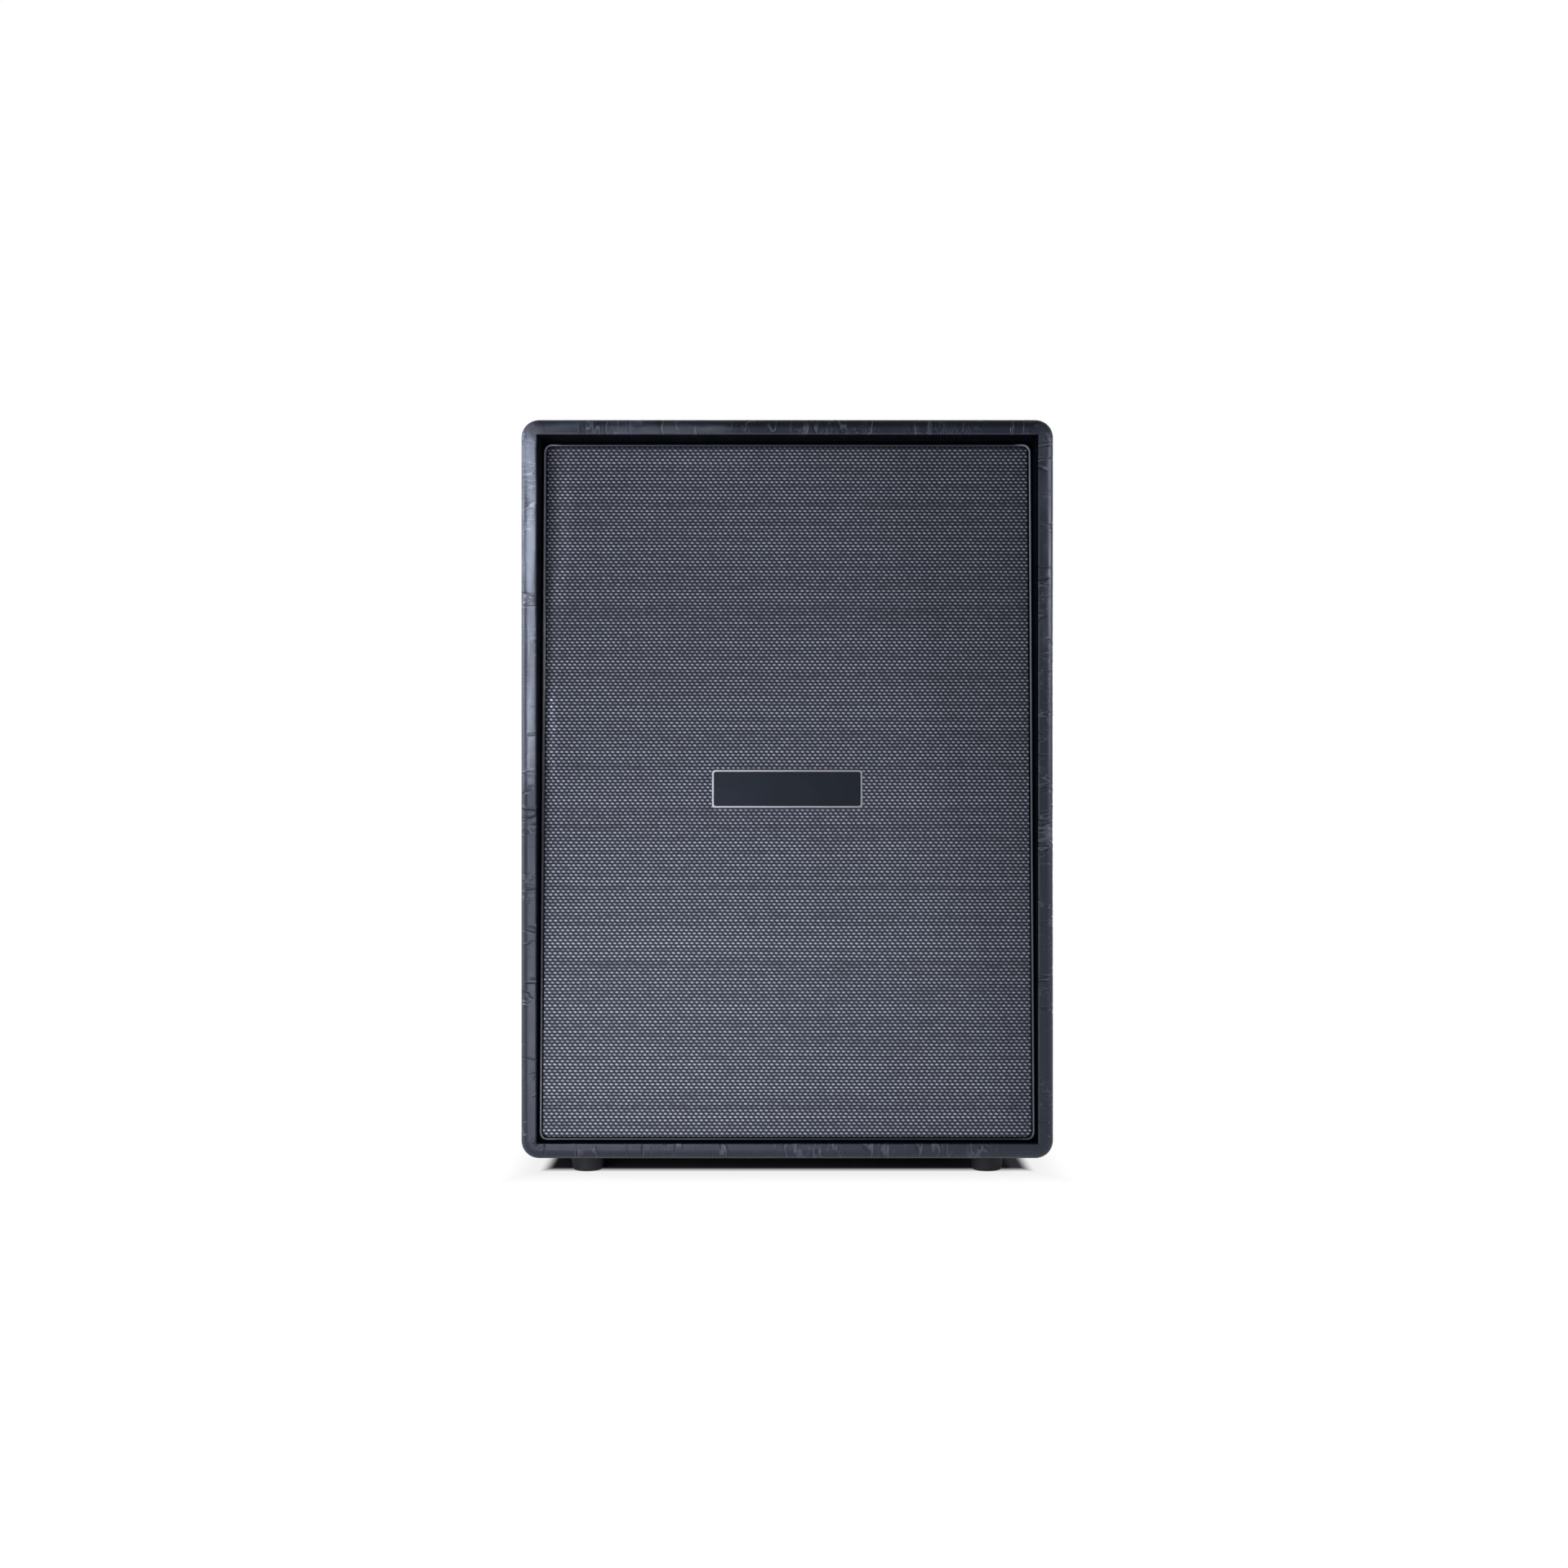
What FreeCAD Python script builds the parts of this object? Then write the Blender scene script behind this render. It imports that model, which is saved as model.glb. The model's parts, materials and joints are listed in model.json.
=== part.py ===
import FreeCAD, Part
import math
import os

from FreeCAD import Placement, Rotation, Vector

# Guitar speaker cabinet: an upright box for two twelve-inch drivers behind a leaning grille.
# Millimetres. +Z is up, the front faces -Y, and the origin is on the floor below the middle.

# Box
CAB_WIDTH = 525.0
CAB_DEPTH = 312.0
BODY_HEIGHT = 729.0
PANEL = 15.0
COVERING = 0.5
CORNER_RADIUS = 17.5
EDGE_RADIUS = 9.0
LIP_RADIUS = 2.0
BATTEN = 20.0

# Grille, which leans back at the top
RECESS_BOTTOM = 7.0
RECESS_TOP = 49.0
GRILLE_GAP = 1.0
GRILLE_CORNER_RADIUS = 5.0
GRILLE_FRAME_DEPTH = 12.0
GRILLE_RAIL = 34.0
GRILLE_MID_RAIL = 60.0
CLOTH = 0.8
PIPING_DIAMETER = 4.0
PIPING_PROUD = 0.5
PAD_WIDTH = 20.0
PAD_LENGTH = 60.0
PAD_THICKNESS = 3.0
PAD_ROWS = 3
PAD_END_INSET = 60.0

# Bare plate on the grille
BADGE_WIDTH = 149.5
BADGE_HEIGHT = 37.5
BADGE_THICKNESS = 2.5
BADGE_CORNER_RADIUS = 3.0
BADGE_BORDER = 1.8
BADGE_FIELD_DEPTH = 0.6
BADGE_PIN_INSET = 6.5
BADGE_PIN_RADIUS = 1.0
BADGE_PIN_HEAD_RADIUS = 1.6
BADGE_PIN_HEAD = 0.5
BADGE_PIN_LENGTH = 9.0

# Baffle and the way the drivers are fixed to it
BAFFLE = 18.0
BAFFLE_GAP = 0.5
DRIVER_MARGIN = 11.0
DRIVER_GAP = 18.0
BOLT_INSET = 6.0
BOLT_COUNT = 4
FRAME_HOLES = 8
BOLT_RADIUS = 2.5
BOLT_HEAD_RADIUS = 4.5
BOLT_HEAD = 3.5
TEE_FLANGE_RADIUS = 9.0
TEE_FLANGE = 1.4
TEE_BARREL_RADIUS = 3.9
TEE_BARREL = 10.0

# Driver
DRIVER_RIM = 13.0
GASKET = 3.0
BASKET_SHEET = 1.8
BASKET_THROAT_MARGIN = 10.5
BASKET_LEDGE_RADIUS = 70.0
BASKET_LEDGE_WIDTH = 12.0
BASKET_LEDGE_DEPTH = 58.0
BASKET_SEAT_RADIUS = 53.0
BASKET_DEPTH = 80.0
BASKET_WINDOWS = 6
SPOKE_WIDTH = 32.0
WINDOW_MARGIN = 7.0
WINDOW_CORNER_RADIUS = 8.0
TERMINAL_TURN = 90.0
COIL_RADIUS = 22.2
COIL_FORMER = 0.5
COIL_WINDING = 0.8
COIL_WINDING_LENGTH = 14.0
COIL_GAP = 0.5
FRONT_PLATE_RADIUS = 70.0
FRONT_PLATE = 7.0
MAGNET_RADIUS = 78.0
MAGNET = 20.0
MAGNET_BORE_RADIUS = 32.0
MAGNET_CHAMFER = 2.5
BACK_PLATE = 8.0
CONE_SHEET = 1.2
CONE_LIP = 3.0
CONE_NECK_DEPTH = 50.0
CONE_BOW = 5.0
EDGE_WIDTH = 11.0
EDGE_SHEET = 1.0
EDGE_ROLLS = 2
EDGE_ROLL_HEIGHT = 2.0
DUST_CAP_RADIUS = 37.0
DUST_CAP_HEIGHT = 11.0
DUST_CAP_SHEET = 0.8
SPIDER_SHEET = 0.8
SPIDER_ROLLS = 3
SPIDER_ROLL_HEIGHT = 1.8
TERMINAL_WIDTH = 28.0
TERMINAL_LENGTH = 18.0
TERMINAL_BOARD = 2.0
TAB_WIDTH = 6.3
TAB_THICKNESS = 0.8
TAB_LENGTH = 9.0
TAB_SPACING = 15.0

# Half-open back
BACK_PANEL = 12.0
BACK_INSET = 8.0
BACK_OPENING = 250.0
BACK_GAP = 1.0
BACK_EDGE_RADIUS = 2.5
BACK_SCREWS_ACROSS = 3
BACK_SCREW_SPACING = 170.0
BACK_SCREW_END = 30.0
WOOD_SCREW_RADIUS = 2.0
WOOD_SCREW_LENGTH = 28.0
WOOD_SCREW_HEAD_RADIUS = 4.0
WOOD_SCREW_HEAD = 2.0
CUP_RADIUS = 7.5
CUP = 1.2

# Jack plate on the lower back panel
JACK_PLATE_WIDTH = 112.0
JACK_PLATE_HEIGHT = 64.0
JACK_PLATE = 2.0
JACK_PLATE_CORNER = 6.0
JACK_PLATE_HOLE_WIDTH = 70.0
JACK_PLATE_HOLE_HEIGHT = 34.0
JACK_PLATE_SCREW_INSET = 7.0
PLATE_SCREW_RADIUS = 1.5
PLATE_SCREW_LENGTH = 10.0
PLATE_SCREW_HEAD_RADIUS = 3.0
PLATE_SCREW_HEAD = 1.6
JACK_SPACING = 46.0
JACK_BODY_WIDTH = 19.0
JACK_BODY_HEIGHT = 22.0
JACK_BODY_DEPTH = 27.0
JACK_BUSH_RADIUS = 4.7
JACK_BUSH = 5.5
JACK_BORE_RADIUS = 3.25
JACK_BORE_DEPTH = 30.0
JACK_NUT_ACROSS = 13.0
JACK_NUT = 2.5
SWITCH_BEZEL_WIDTH = 12.0
SWITCH_BEZEL_HEIGHT = 18.0
SWITCH_BEZEL = 1.6
SWITCH_WALL = 1.4
SWITCH_BODY_DEPTH = 11.0
ROCKER_WIDTH = 7.0
ROCKER_HALF_LENGTH = 5.3
ROCKER_END_HEIGHT = 3.2
ROCKER_DIP = 1.1
ROCKER_TILT = 12.0
ROCKER_PIN_RADIUS = 0.9
ROCKER_PIN = 0.8

# Side handles
HANDLE_ABOVE_MIDDLE = 48.5
HANDLE_BEHIND_MIDDLE = 18.0
HANDLE_MOUTH_WIDTH = 158.0
HANDLE_MOUTH_HEIGHT = 88.0
HANDLE_BORDER = 17.0
HANDLE_FLANGE = 3.0
HANDLE_FLANGE_RADIUS = 14.0
HANDLE_LIP_RADIUS = 1.5
HANDLE_BATTEN_GAP = 12.0
HANDLE_MOUTH_RADIUS = 12.0
HANDLE_DEPTH = 40.0
HANDLE_TAPER = 8.0
HANDLE_WALL = 2.5
HANDLE_GRIP_RADIUS = 9.0
HANDLE_GRIP_RISE = 16.0
HANDLE_GRIP_SET = 11.0
HANDLE_SCREW_INSET = 9.0
HANDLE_SCREW_LENGTH = 11.0

# Feet
FOOT_HEIGHT = 17.0
FOOT_RADIUS = 17.0
FOOT_TOE_RADIUS = 14.5
FOOT_EDGE_RADIUS = 2.5
FOOT_INSET_SIDE = 62.5
FOOT_INSET_FRONT = 45.0
FOOT_COUNTERBORE_RADIUS = 8.0
FOOT_COUNTERBORE = 9.0
FOOT_WASHER_RADIUS = 7.4
FOOT_WASHER = 1.2
FOOT_SCREW_LENGTH = 20.0

# Clearances
SEAT_GAP = 0.3
SCREW_GAP = 0.2
PLATE_GAP = 0.25

# Places that follow from the sizes above
HALF_WIDTH = CAB_WIDTH / 2
FRONT = -CAB_DEPTH / 2
BACK = CAB_DEPTH / 2
FLOOR = FOOT_HEIGHT
ROOF = FOOT_HEIGHT + BODY_HEIGHT
MIDDLE = (FLOOR + ROOF) / 2
WALL = COVERING + PANEL
LIP = WALL + COVERING
OPENING_WIDTH = CAB_WIDTH - 2 * LIP
OPENING_HEIGHT = BODY_HEIGHT - 2 * LIP
SLANT = math.degrees(math.atan2(RECESS_TOP - RECESS_BOTTOM, OPENING_HEIGHT))

GRILLE_PLACE = Placement(
    Vector(0, FRONT + (RECESS_BOTTOM + RECESS_TOP) / 2, MIDDLE),
    Rotation(Vector(1, 0, 0), 90 - SLANT),
)
FRAME_BACK = -CLOTH - GRILLE_FRAME_DEPTH
BAFFLE_FRONT = FRAME_BACK - PAD_THICKNESS
BAFFLE_BACK = BAFFLE_FRONT - BAFFLE

PIPING_RADIUS = PIPING_DIAMETER / 2
PIPING_HALF_WIDTH = OPENING_WIDTH / 2 - GRILLE_GAP - PIPING_RADIUS
LEAN = math.radians(SLANT)
PIPING_HALF_HEIGHT = (OPENING_HEIGHT / 2 - GRILLE_GAP) / math.cos(LEAN) - PIPING_RADIUS
CLOTH_WIDTH = 2 * (PIPING_HALF_WIDTH - PIPING_RADIUS - SEAT_GAP)
CLOTH_HEIGHT = 2 * (PIPING_HALF_HEIGHT - PIPING_RADIUS - SEAT_GAP)
FRAME_WIDTH = CLOTH_WIDTH - 2 * CLOTH
FRAME_HEIGHT = CLOTH_HEIGHT - 2 * CLOTH

DRIVER_ROOM = BODY_HEIGHT - 2 * (WALL + BATTEN + DRIVER_MARGIN)
DRIVER_DIAMETER = (DRIVER_ROOM - DRIVER_GAP) / 2
DRIVER_SPACING = DRIVER_DIAMETER + DRIVER_GAP
CUTOUT_DIAMETER = DRIVER_DIAMETER - 2 * DRIVER_RIM
BOLT_CIRCLE = DRIVER_DIAMETER - 2 * BOLT_INSET
BASKET_THROAT_RADIUS = CUTOUT_DIAMETER / 2 - BASKET_THROAT_MARGIN
CONE_RADIUS = BASKET_THROAT_RADIUS - EDGE_WIDTH

BACK_FACE = BACK - BACK_INSET
BACK_SEAT = BACK_FACE - BACK_PANEL
BACK_PANEL_HEIGHT = (OPENING_HEIGHT - BACK_OPENING) / 2 - BACK_GAP
JACK_HEIGHT = FLOOR + LIP + BACK_GAP + BACK_PANEL_HEIGHT / 2
HANDLE_HEIGHT = MIDDLE + HANDLE_ABOVE_MIDDLE
HANDLE_FLANGE_WIDTH = HANDLE_MOUTH_WIDTH + 2 * HANDLE_BORDER
HANDLE_FLANGE_HEIGHT = HANDLE_MOUTH_HEIGHT + 2 * HANDLE_BORDER

NEAR = 1e-3
UP = Vector(0, 0, 1)
DOWN = Vector(0, 0, -1)
REAR = Vector(0, 1, 0)
SIDES = {"left": -1, "right": 1}
DRIVERS = {"upper": 1, "lower": -1}


def block(x, y, z):
    """A box between the low and high values of each axis."""
    return Part.makeBox(x[1] - x[0], y[1] - y[0], z[1] - z[0], Vector(x[0], y[0], z[0]))


def centred_block(width, height, low, high):
    """A box about the local Z axis, from a low to a high level."""
    return block((-width / 2, width / 2), (-height / 2, height / 2), (low, high))


def rod(radius, low, high):
    """A cylinder on the local Z axis."""
    return Part.makeCylinder(radius, high - low, Vector(0, 0, low))


def ring(outer, inner, low, high):
    return rod(outer, low, high).cut(rod(inner, low, high))


def rounded_outline(width, height, radius, level=0.0):
    """A rectangle with round corners about the local Z axis, as one wire."""
    x, y = width / 2 - radius, height / 2 - radius
    edges = []
    for turn, (cx, cy) in enumerate(((x, y), (-x, y), (-x, -y), (x, -y))):
        nx, ny = ((-x, y), (-x, -y), (x, -y), (x, y))[turn]
        angles = [math.radians(90 * turn + step) for step in (0, 45, 90)]
        bend = [Vector(cx + radius * math.cos(a), cy + radius * math.sin(a), level) for a in angles]
        after = Vector(nx + radius * math.cos(angles[2]), ny + radius * math.sin(angles[2]), level)
        edges.append(Part.Arc(*bend).toShape())
        edges.append(Part.LineSegment(bend[2], after).toShape())
    return Part.Wire(edges)


def rounded_plate(width, height, radius, low, high):
    face = Part.Face(rounded_outline(width, height, radius, low))
    return face.extrude(Vector(0, 0, high - low))


def tapered_well(width, height, radius, taper, low, high):
    """A rounded block that narrows by the taper on each side towards its low end."""
    wide = rounded_outline(width, height, radius, high)
    narrow = rounded_outline(width - 2 * taper, height - 2 * taper, radius, low)
    return Part.makeLoft([narrow, wide], True, True)


def turned(points):
    """A solid turned about the local Z axis from (radius, level) points."""
    corners = [Vector(radius, 0, level) for radius, level in points]
    face = Part.Face(Part.makePolygon(corners + corners[:1]))
    return face.revolve(Vector(0, 0, 0), UP, 360)


def moved_sideways(points, distance):
    """A line of (radius, level) points moved to its left, mitred at each bend."""
    normals = []
    for (r0, z0), (r1, z1) in zip(points, points[1:]):
        length = math.hypot(r1 - r0, z1 - z0)
        normals.append(((z0 - z1) / length, (r1 - r0) / length))
    moved = []
    for index, (r, z) in enumerate(points):
        before = normals[max(index - 1, 0)]
        after = normals[min(index, len(normals) - 1)]
        spread = 1 + before[0] * after[0] + before[1] * after[1]
        shift = [distance * (before[axis] + after[axis]) / spread for axis in (0, 1)]
        moved.append((r + shift[0], z + shift[1]))
    return moved


def turned_sheet(points, thickness):
    """A sheet of even thickness turned about the local Z axis."""
    return turned(points + moved_sideways(points, thickness)[::-1])


def wave(start, end, level, height, rolls):
    """Crest and trough points of concentric rolls between two radii."""
    step = (end - start) / (4 * rolls)
    count = 4 * rolls
    return [(start + step * i, level + height * math.sin(math.pi / 2 * i)) for i in range(count + 1)]


def screw(radius, length, head_radius, head):
    """A plain screw: its head stands above level 0 and its shank hangs below."""
    return rod(head_radius, 0, head).fuse(rod(radius, -length, 0)).removeSplitter()


def aimed(shape, point, axis):
    """A copy whose local Z axis points along the given axis from the point."""
    copy = shape.copy()
    copy.Placement = Placement(point, Rotation(UP, axis))
    return copy


def placed(shape, place):
    copy = shape.copy()
    copy.Placement = place.multiply(copy.Placement)
    return copy


def on_grille(shape):
    """From grille coordinates, with Y up the slope and Z out of the cloth, to the cabinet."""
    return placed(shape, GRILLE_PLACE)


def on_driver(shape, sign):
    """From driver coordinates, with Z out of the baffle's rear face, to the cabinet."""
    centre = Placement(Vector(0, sign * DRIVER_SPACING / 2, BAFFLE_BACK), Rotation())
    return placed(shape, GRILLE_PLACE.multiply(centre))


def around(shape, count, first=0.0):
    """Copies of a shape spaced evenly round the local Z axis."""
    copies = []
    for index in range(count):
        copy = shape.copy()
        copy.rotate(Vector(0, 0, 0), UP, first + 360 / count * index)
        copies.append(copy)
    return copies


def save(name, *shapes):
    """Write the pieces of one node."""
    solids = [solid for shape in shapes for solid in shape.Solids]
    whole = solids[0] if len(solids) == 1 else Part.makeCompound(solids)
    whole.exportStep(f"parts/{name}.step")


def long_edges(shape, axis):
    """Straight edges of a shape along one axis."""
    straight = [edge for edge in shape.Edges if isinstance(edge.Curve, Part.Line)]
    return [edge for edge in straight if edge.Curve.Direction.cross(axis).Length < NEAR]


def edges_at(shape, y, reach):
    """Edges that lie wholly at one depth, within a reach of the box's middle along X and Z."""
    found = []
    for edge in shape.Edges:
        box = edge.BoundBox
        flat = abs(box.YMin - y) < NEAR and abs(box.YMax - y) < NEAR
        across = max(-box.XMin, box.XMax)
        upward = max(MIDDLE - box.ZMin, box.ZMax - MIDDLE)
        if flat and across < reach[0] and upward < reach[1]:
            found.append(edge)
    return found


# Box and covering

def rounded_body(inset):
    """The outside of the box at a depth below the face of its covering."""
    body = block(
        (-HALF_WIDTH + inset, HALF_WIDTH - inset),
        (FRONT + inset, BACK - inset),
        (FLOOR + inset, ROOF - inset),
    )
    body = body.makeFillet(CORNER_RADIUS - inset, long_edges(body, REAR))
    everywhere = (CAB_WIDTH, BODY_HEIGHT)
    rims = edges_at(body, FRONT + inset, everywhere) + edges_at(body, BACK - inset, everywhere)
    return body.makeFillet(EDGE_RADIUS - inset, rims)


def inner_space(wall, front=FRONT, back=BACK):
    """The room between the four walls, at a depth below their outer faces."""
    return block(
        (-HALF_WIDTH + wall, HALF_WIDTH - wall),
        (front, back),
        (FLOOR + wall, ROOF - wall),
    )


def hollow_body(inset, wall):
    """The four walls as one ring, with small round lips at the front and rear openings."""
    tube = rounded_body(inset).cut(inner_space(wall))
    reach = (HALF_WIDTH - wall + SEAT_GAP, BODY_HEIGHT / 2 - wall + SEAT_GAP)
    lips = edges_at(tube, FRONT + inset, reach) + edges_at(tube, BACK - inset, reach)
    return tube.makeFillet(LIP_RADIUS - inset, lips)


def behind_baffle_face():
    """A deep slab that starts at the front face of the leaning baffle."""
    far = BAFFLE_FRONT - 2 * CAB_DEPTH
    return on_grille(centred_block(2 * CAB_WIDTH, 2 * BODY_HEIGHT, far, BAFFLE_FRONT))


def unlined_space():
    """Where the inside of the box has no covering: from the baffle to the back panels' seat."""
    return inner_space(WALL, FRONT, BACK_SEAT).common(behind_baffle_face())


def make_box(handle_cuts, foot_holes):
    core = hollow_body(COVERING, WALL)
    covering = hollow_body(0, LIP).cut([core, unlined_space()])
    cuts = [cut for side in SIDES for cut in handle_cuts[side]]
    save("vinyl_covering", covering.cut(cuts + foot_holes))
    high, deep = (FLOOR, ROOF), (FRONT, BACK)
    for side, sign in SIDES.items():
        x = sorted((sign * HALF_WIDTH, sign * (HALF_WIDTH - WALL)))
        save(f"{side}_side_panel", core.common(block(x, deep, high)).cut(handle_cuts[side]))
    between = (-HALF_WIDTH + WALL, HALF_WIDTH - WALL)
    save("top_panel", core.common(block(between, deep, (ROOF - WALL, ROOF))))
    save("bottom_panel", core.common(block(between, deep, (FLOOR, FLOOR + WALL))).cut(foot_holes))


def batten_frame(zone, depth_range):
    """Battens round the inside of the walls, cut to a leaning or upright zone and clear of the handles."""
    inner = inner_space(WALL + BATTEN, *depth_range)
    whole = inner_space(WALL, *depth_range).common(zone)
    side_space = block((-HALF_WIDTH + WALL + BATTEN, HALF_WIDTH - WALL - BATTEN), depth_range, (FLOOR, ROOF))
    reach = HANDLE_MOUTH_HEIGHT / 2 + HANDLE_WALL + HANDLE_BATTEN_GAP
    handle_zone = block(
        (-HALF_WIDTH, HALF_WIDTH), depth_range, (HANDLE_HEIGHT - reach, HANDLE_HEIGHT + reach))
    return [whole.cut([side_space, handle_zone]), whole.common(side_space).cut(inner)]


# Baffle, grille and bare plate

def bolt_points(count):
    """Places on a driver's bolt circle, in driver coordinates."""
    first = math.pi / 4
    radius = BOLT_CIRCLE / 2
    angles = [first + 2 * math.pi / count * index for index in range(count)]
    return [Vector(radius * math.cos(a), radius * math.sin(a), 0) for a in angles]


def make_baffle():
    slab = on_grille(centred_block(2 * CAB_WIDTH, 2 * BODY_HEIGHT, BAFFLE_BACK, BAFFLE_FRONT))
    board = slab.common(inner_space(WALL + BAFFLE_GAP))
    cuts, nuts = [], []
    nut = rod(TEE_FLANGE_RADIUS, BAFFLE, BAFFLE + TEE_FLANGE)
    nut = nut.fuse(rod(TEE_BARREL_RADIUS, BAFFLE - TEE_BARREL, BAFFLE)).removeSplitter()
    nut = nut.cut(rod(BOLT_RADIUS + SCREW_GAP, 0, BAFFLE + TEE_FLANGE))
    for sign in DRIVERS.values():
        cuts.append(on_driver(rod(CUTOUT_DIAMETER / 2, 0, BAFFLE), sign))
        for point in bolt_points(BOLT_COUNT):
            cuts.append(on_driver(aimed(rod(TEE_BARREL_RADIUS + SCREW_GAP, 0, BAFFLE), point, UP), sign))
            nuts.append(on_driver(aimed(nut, point, UP), sign))
    save("baffle_board", board.cut(cuts))
    save("speaker_tee_nuts", *nuts)
    batten_slab = centred_block(2 * CAB_WIDTH, 2 * BODY_HEIGHT, BAFFLE_BACK - BATTEN, BAFFLE_BACK)
    save("baffle_battens", *batten_frame(on_grille(batten_slab), (FRONT, BACK)))


def badge_pin_points():
    reach = BADGE_WIDTH / 2 - BADGE_PIN_INSET
    return [Vector(-reach, 0, 0), Vector(reach, 0, 0)]


def make_badge():
    plate = rounded_plate(BADGE_WIDTH, BADGE_HEIGHT, BADGE_CORNER_RADIUS, 0, BADGE_THICKNESS)
    field_radius = max(BADGE_CORNER_RADIUS - BADGE_BORDER, BADGE_BORDER / 2)
    field_size = (BADGE_WIDTH - 2 * BADGE_BORDER, BADGE_HEIGHT - 2 * BADGE_BORDER)
    face = BADGE_THICKNESS - BADGE_FIELD_DEPTH
    plate = plate.cut(rounded_plate(*field_size, field_radius, face, BADGE_THICKNESS))
    pin = screw(BADGE_PIN_RADIUS, BADGE_PIN_LENGTH, BADGE_PIN_HEAD_RADIUS, BADGE_PIN_HEAD)
    hole = rod(BADGE_PIN_RADIUS + SCREW_GAP, face - BADGE_PIN_LENGTH, BADGE_THICKNESS)
    holes = [aimed(hole, point, UP) for point in badge_pin_points()]
    pins = [aimed(pin, point + Vector(0, 0, face), UP) for point in badge_pin_points()]
    save("badge_plate", on_grille(plate.cut(holes)))
    save("badge_pins", *[on_grille(each) for each in pins])
    return holes


def grille_rails():
    """Two stiles, and the top, middle and bottom rails between them."""
    outline = rounded_plate(FRAME_WIDTH, FRAME_HEIGHT, GRILLE_CORNER_RADIUS - CLOTH, FRAME_BACK, -CLOTH)
    inner = FRAME_WIDTH / 2 - GRILLE_RAIL
    half = FRAME_HEIGHT / 2
    level = (FRAME_BACK, -CLOTH)
    stiles = [block((-FRAME_WIDTH / 2, -inner), (-half, half), level)]
    stiles.append(block((inner, FRAME_WIDTH / 2), (-half, half), level))
    rails = [block((-inner, inner), (half - GRILLE_RAIL, half), level)]
    rails.append(block((-inner, inner), (-half, GRILLE_RAIL - half), level))
    rails.append(block((-inner, inner), (-GRILLE_MID_RAIL / 2, GRILLE_MID_RAIL / 2), level))
    return [outline.common(piece) for piece in stiles + rails]


def piping_cord():
    """A round cord round the edge of the cloth, as one closed loop."""
    level = PIPING_PROUD - PIPING_RADIUS
    bend = GRILLE_CORNER_RADIUS + SEAT_GAP + PIPING_RADIUS
    path = rounded_outline(2 * PIPING_HALF_WIDTH, 2 * PIPING_HALF_HEIGHT, bend, level)
    start = Vector(PIPING_HALF_WIDTH, PIPING_HALF_HEIGHT - bend, level)
    section = Part.Wire(Part.makeCircle(PIPING_RADIUS, start, Vector(0, 1, 0)))
    return path.makePipeShell([section], True, True)


def grille_pads():
    """Hook-and-loop pads between the stiles and the baffle."""
    across = FRAME_WIDTH / 2 - GRILLE_RAIL / 2
    reach = FRAME_HEIGHT / 2 - PAD_END_INSET
    pads = []
    for x in (-across, across):
        for row in range(PAD_ROWS):
            y = -reach + 2 * reach / (PAD_ROWS - 1) * row
            pad = centred_block(PAD_WIDTH, PAD_LENGTH, BAFFLE_FRONT, FRAME_BACK)
            pads.append(placed(pad, Placement(Vector(x, y, 0), Rotation())))
    return pads


def make_grille(pin_holes):
    cloth = rounded_plate(CLOTH_WIDTH, CLOTH_HEIGHT, GRILLE_CORNER_RADIUS, -CLOTH, 0)
    save("grille_cloth", on_grille(cloth.cut(pin_holes)))
    save("grille_frame", *[on_grille(rail.cut(pin_holes)) for rail in grille_rails()])
    save("grille_piping", on_grille(piping_cord()))
    save("grille_fixing_pads", *[on_grille(pad) for pad in grille_pads()])


# Drivers, in driver coordinates: level 0 is the baffle's rear face

FRAME_FACE = -GASKET
SEAT = -BASKET_DEPTH - BASKET_SHEET
COIL_OUTSIDE = COIL_RADIUS + COIL_FORMER
GAP_RADIUS = COIL_OUTSIDE + COIL_WINDING + COIL_GAP
POLE_RADIUS = COIL_RADIUS - COIL_GAP
NECK_RADIUS = COIL_OUTSIDE + SEAT_GAP
CONE_LEVEL = FRAME_FACE - SEAT_GAP


def basket_wall():
    """Ends of the sloping wall's inner face, as (radius, level)."""
    return (BASKET_THROAT_RADIUS, FRAME_FACE), (BASKET_LEDGE_RADIUS, -BASKET_LEDGE_DEPTH)


def basket():
    """A pressed frame: flat rim, sloping spokes between windows, spider ledge and magnet seat."""
    throat, ledge = basket_wall()
    ledge_end = (BASKET_LEDGE_RADIUS - BASKET_LEDGE_WIDTH, -BASKET_LEDGE_DEPTH)
    line = [(DRIVER_DIAMETER / 2, FRAME_FACE), throat, ledge, ledge_end]
    line += [(BASKET_SEAT_RADIUS, -BASKET_DEPTH), (GAP_RADIUS, -BASKET_DEPTH)]
    low, high = -BASKET_LEDGE_DEPTH - 2 * BASKET_SHEET, FRAME_FACE
    band = ring(BASKET_THROAT_RADIUS - WINDOW_MARGIN, BASKET_LEDGE_RADIUS + WINDOW_MARGIN, low, high)
    spoke = block((0, DRIVER_DIAMETER), (-SPOKE_WIDTH / 2, SPOKE_WIDTH / 2), (low, high))
    windows = band.cut(around(spoke, BASKET_WINDOWS, 90)).Solids
    window_depth = BASKET_THROAT_RADIUS - BASKET_LEDGE_RADIUS - 2 * WINDOW_MARGIN
    bend = min(WINDOW_CORNER_RADIUS, window_depth / 3)
    windows = [window.makeFillet(bend, long_edges(window, UP)) for window in windows]
    hole = rod(BOLT_RADIUS + SCREW_GAP, FRAME_FACE - BASKET_SHEET, FRAME_FACE)
    holes = [aimed(hole, point, UP) for point in bolt_points(FRAME_HOLES)]
    return turned_sheet(line, BASKET_SHEET).cut(windows + holes)


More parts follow.
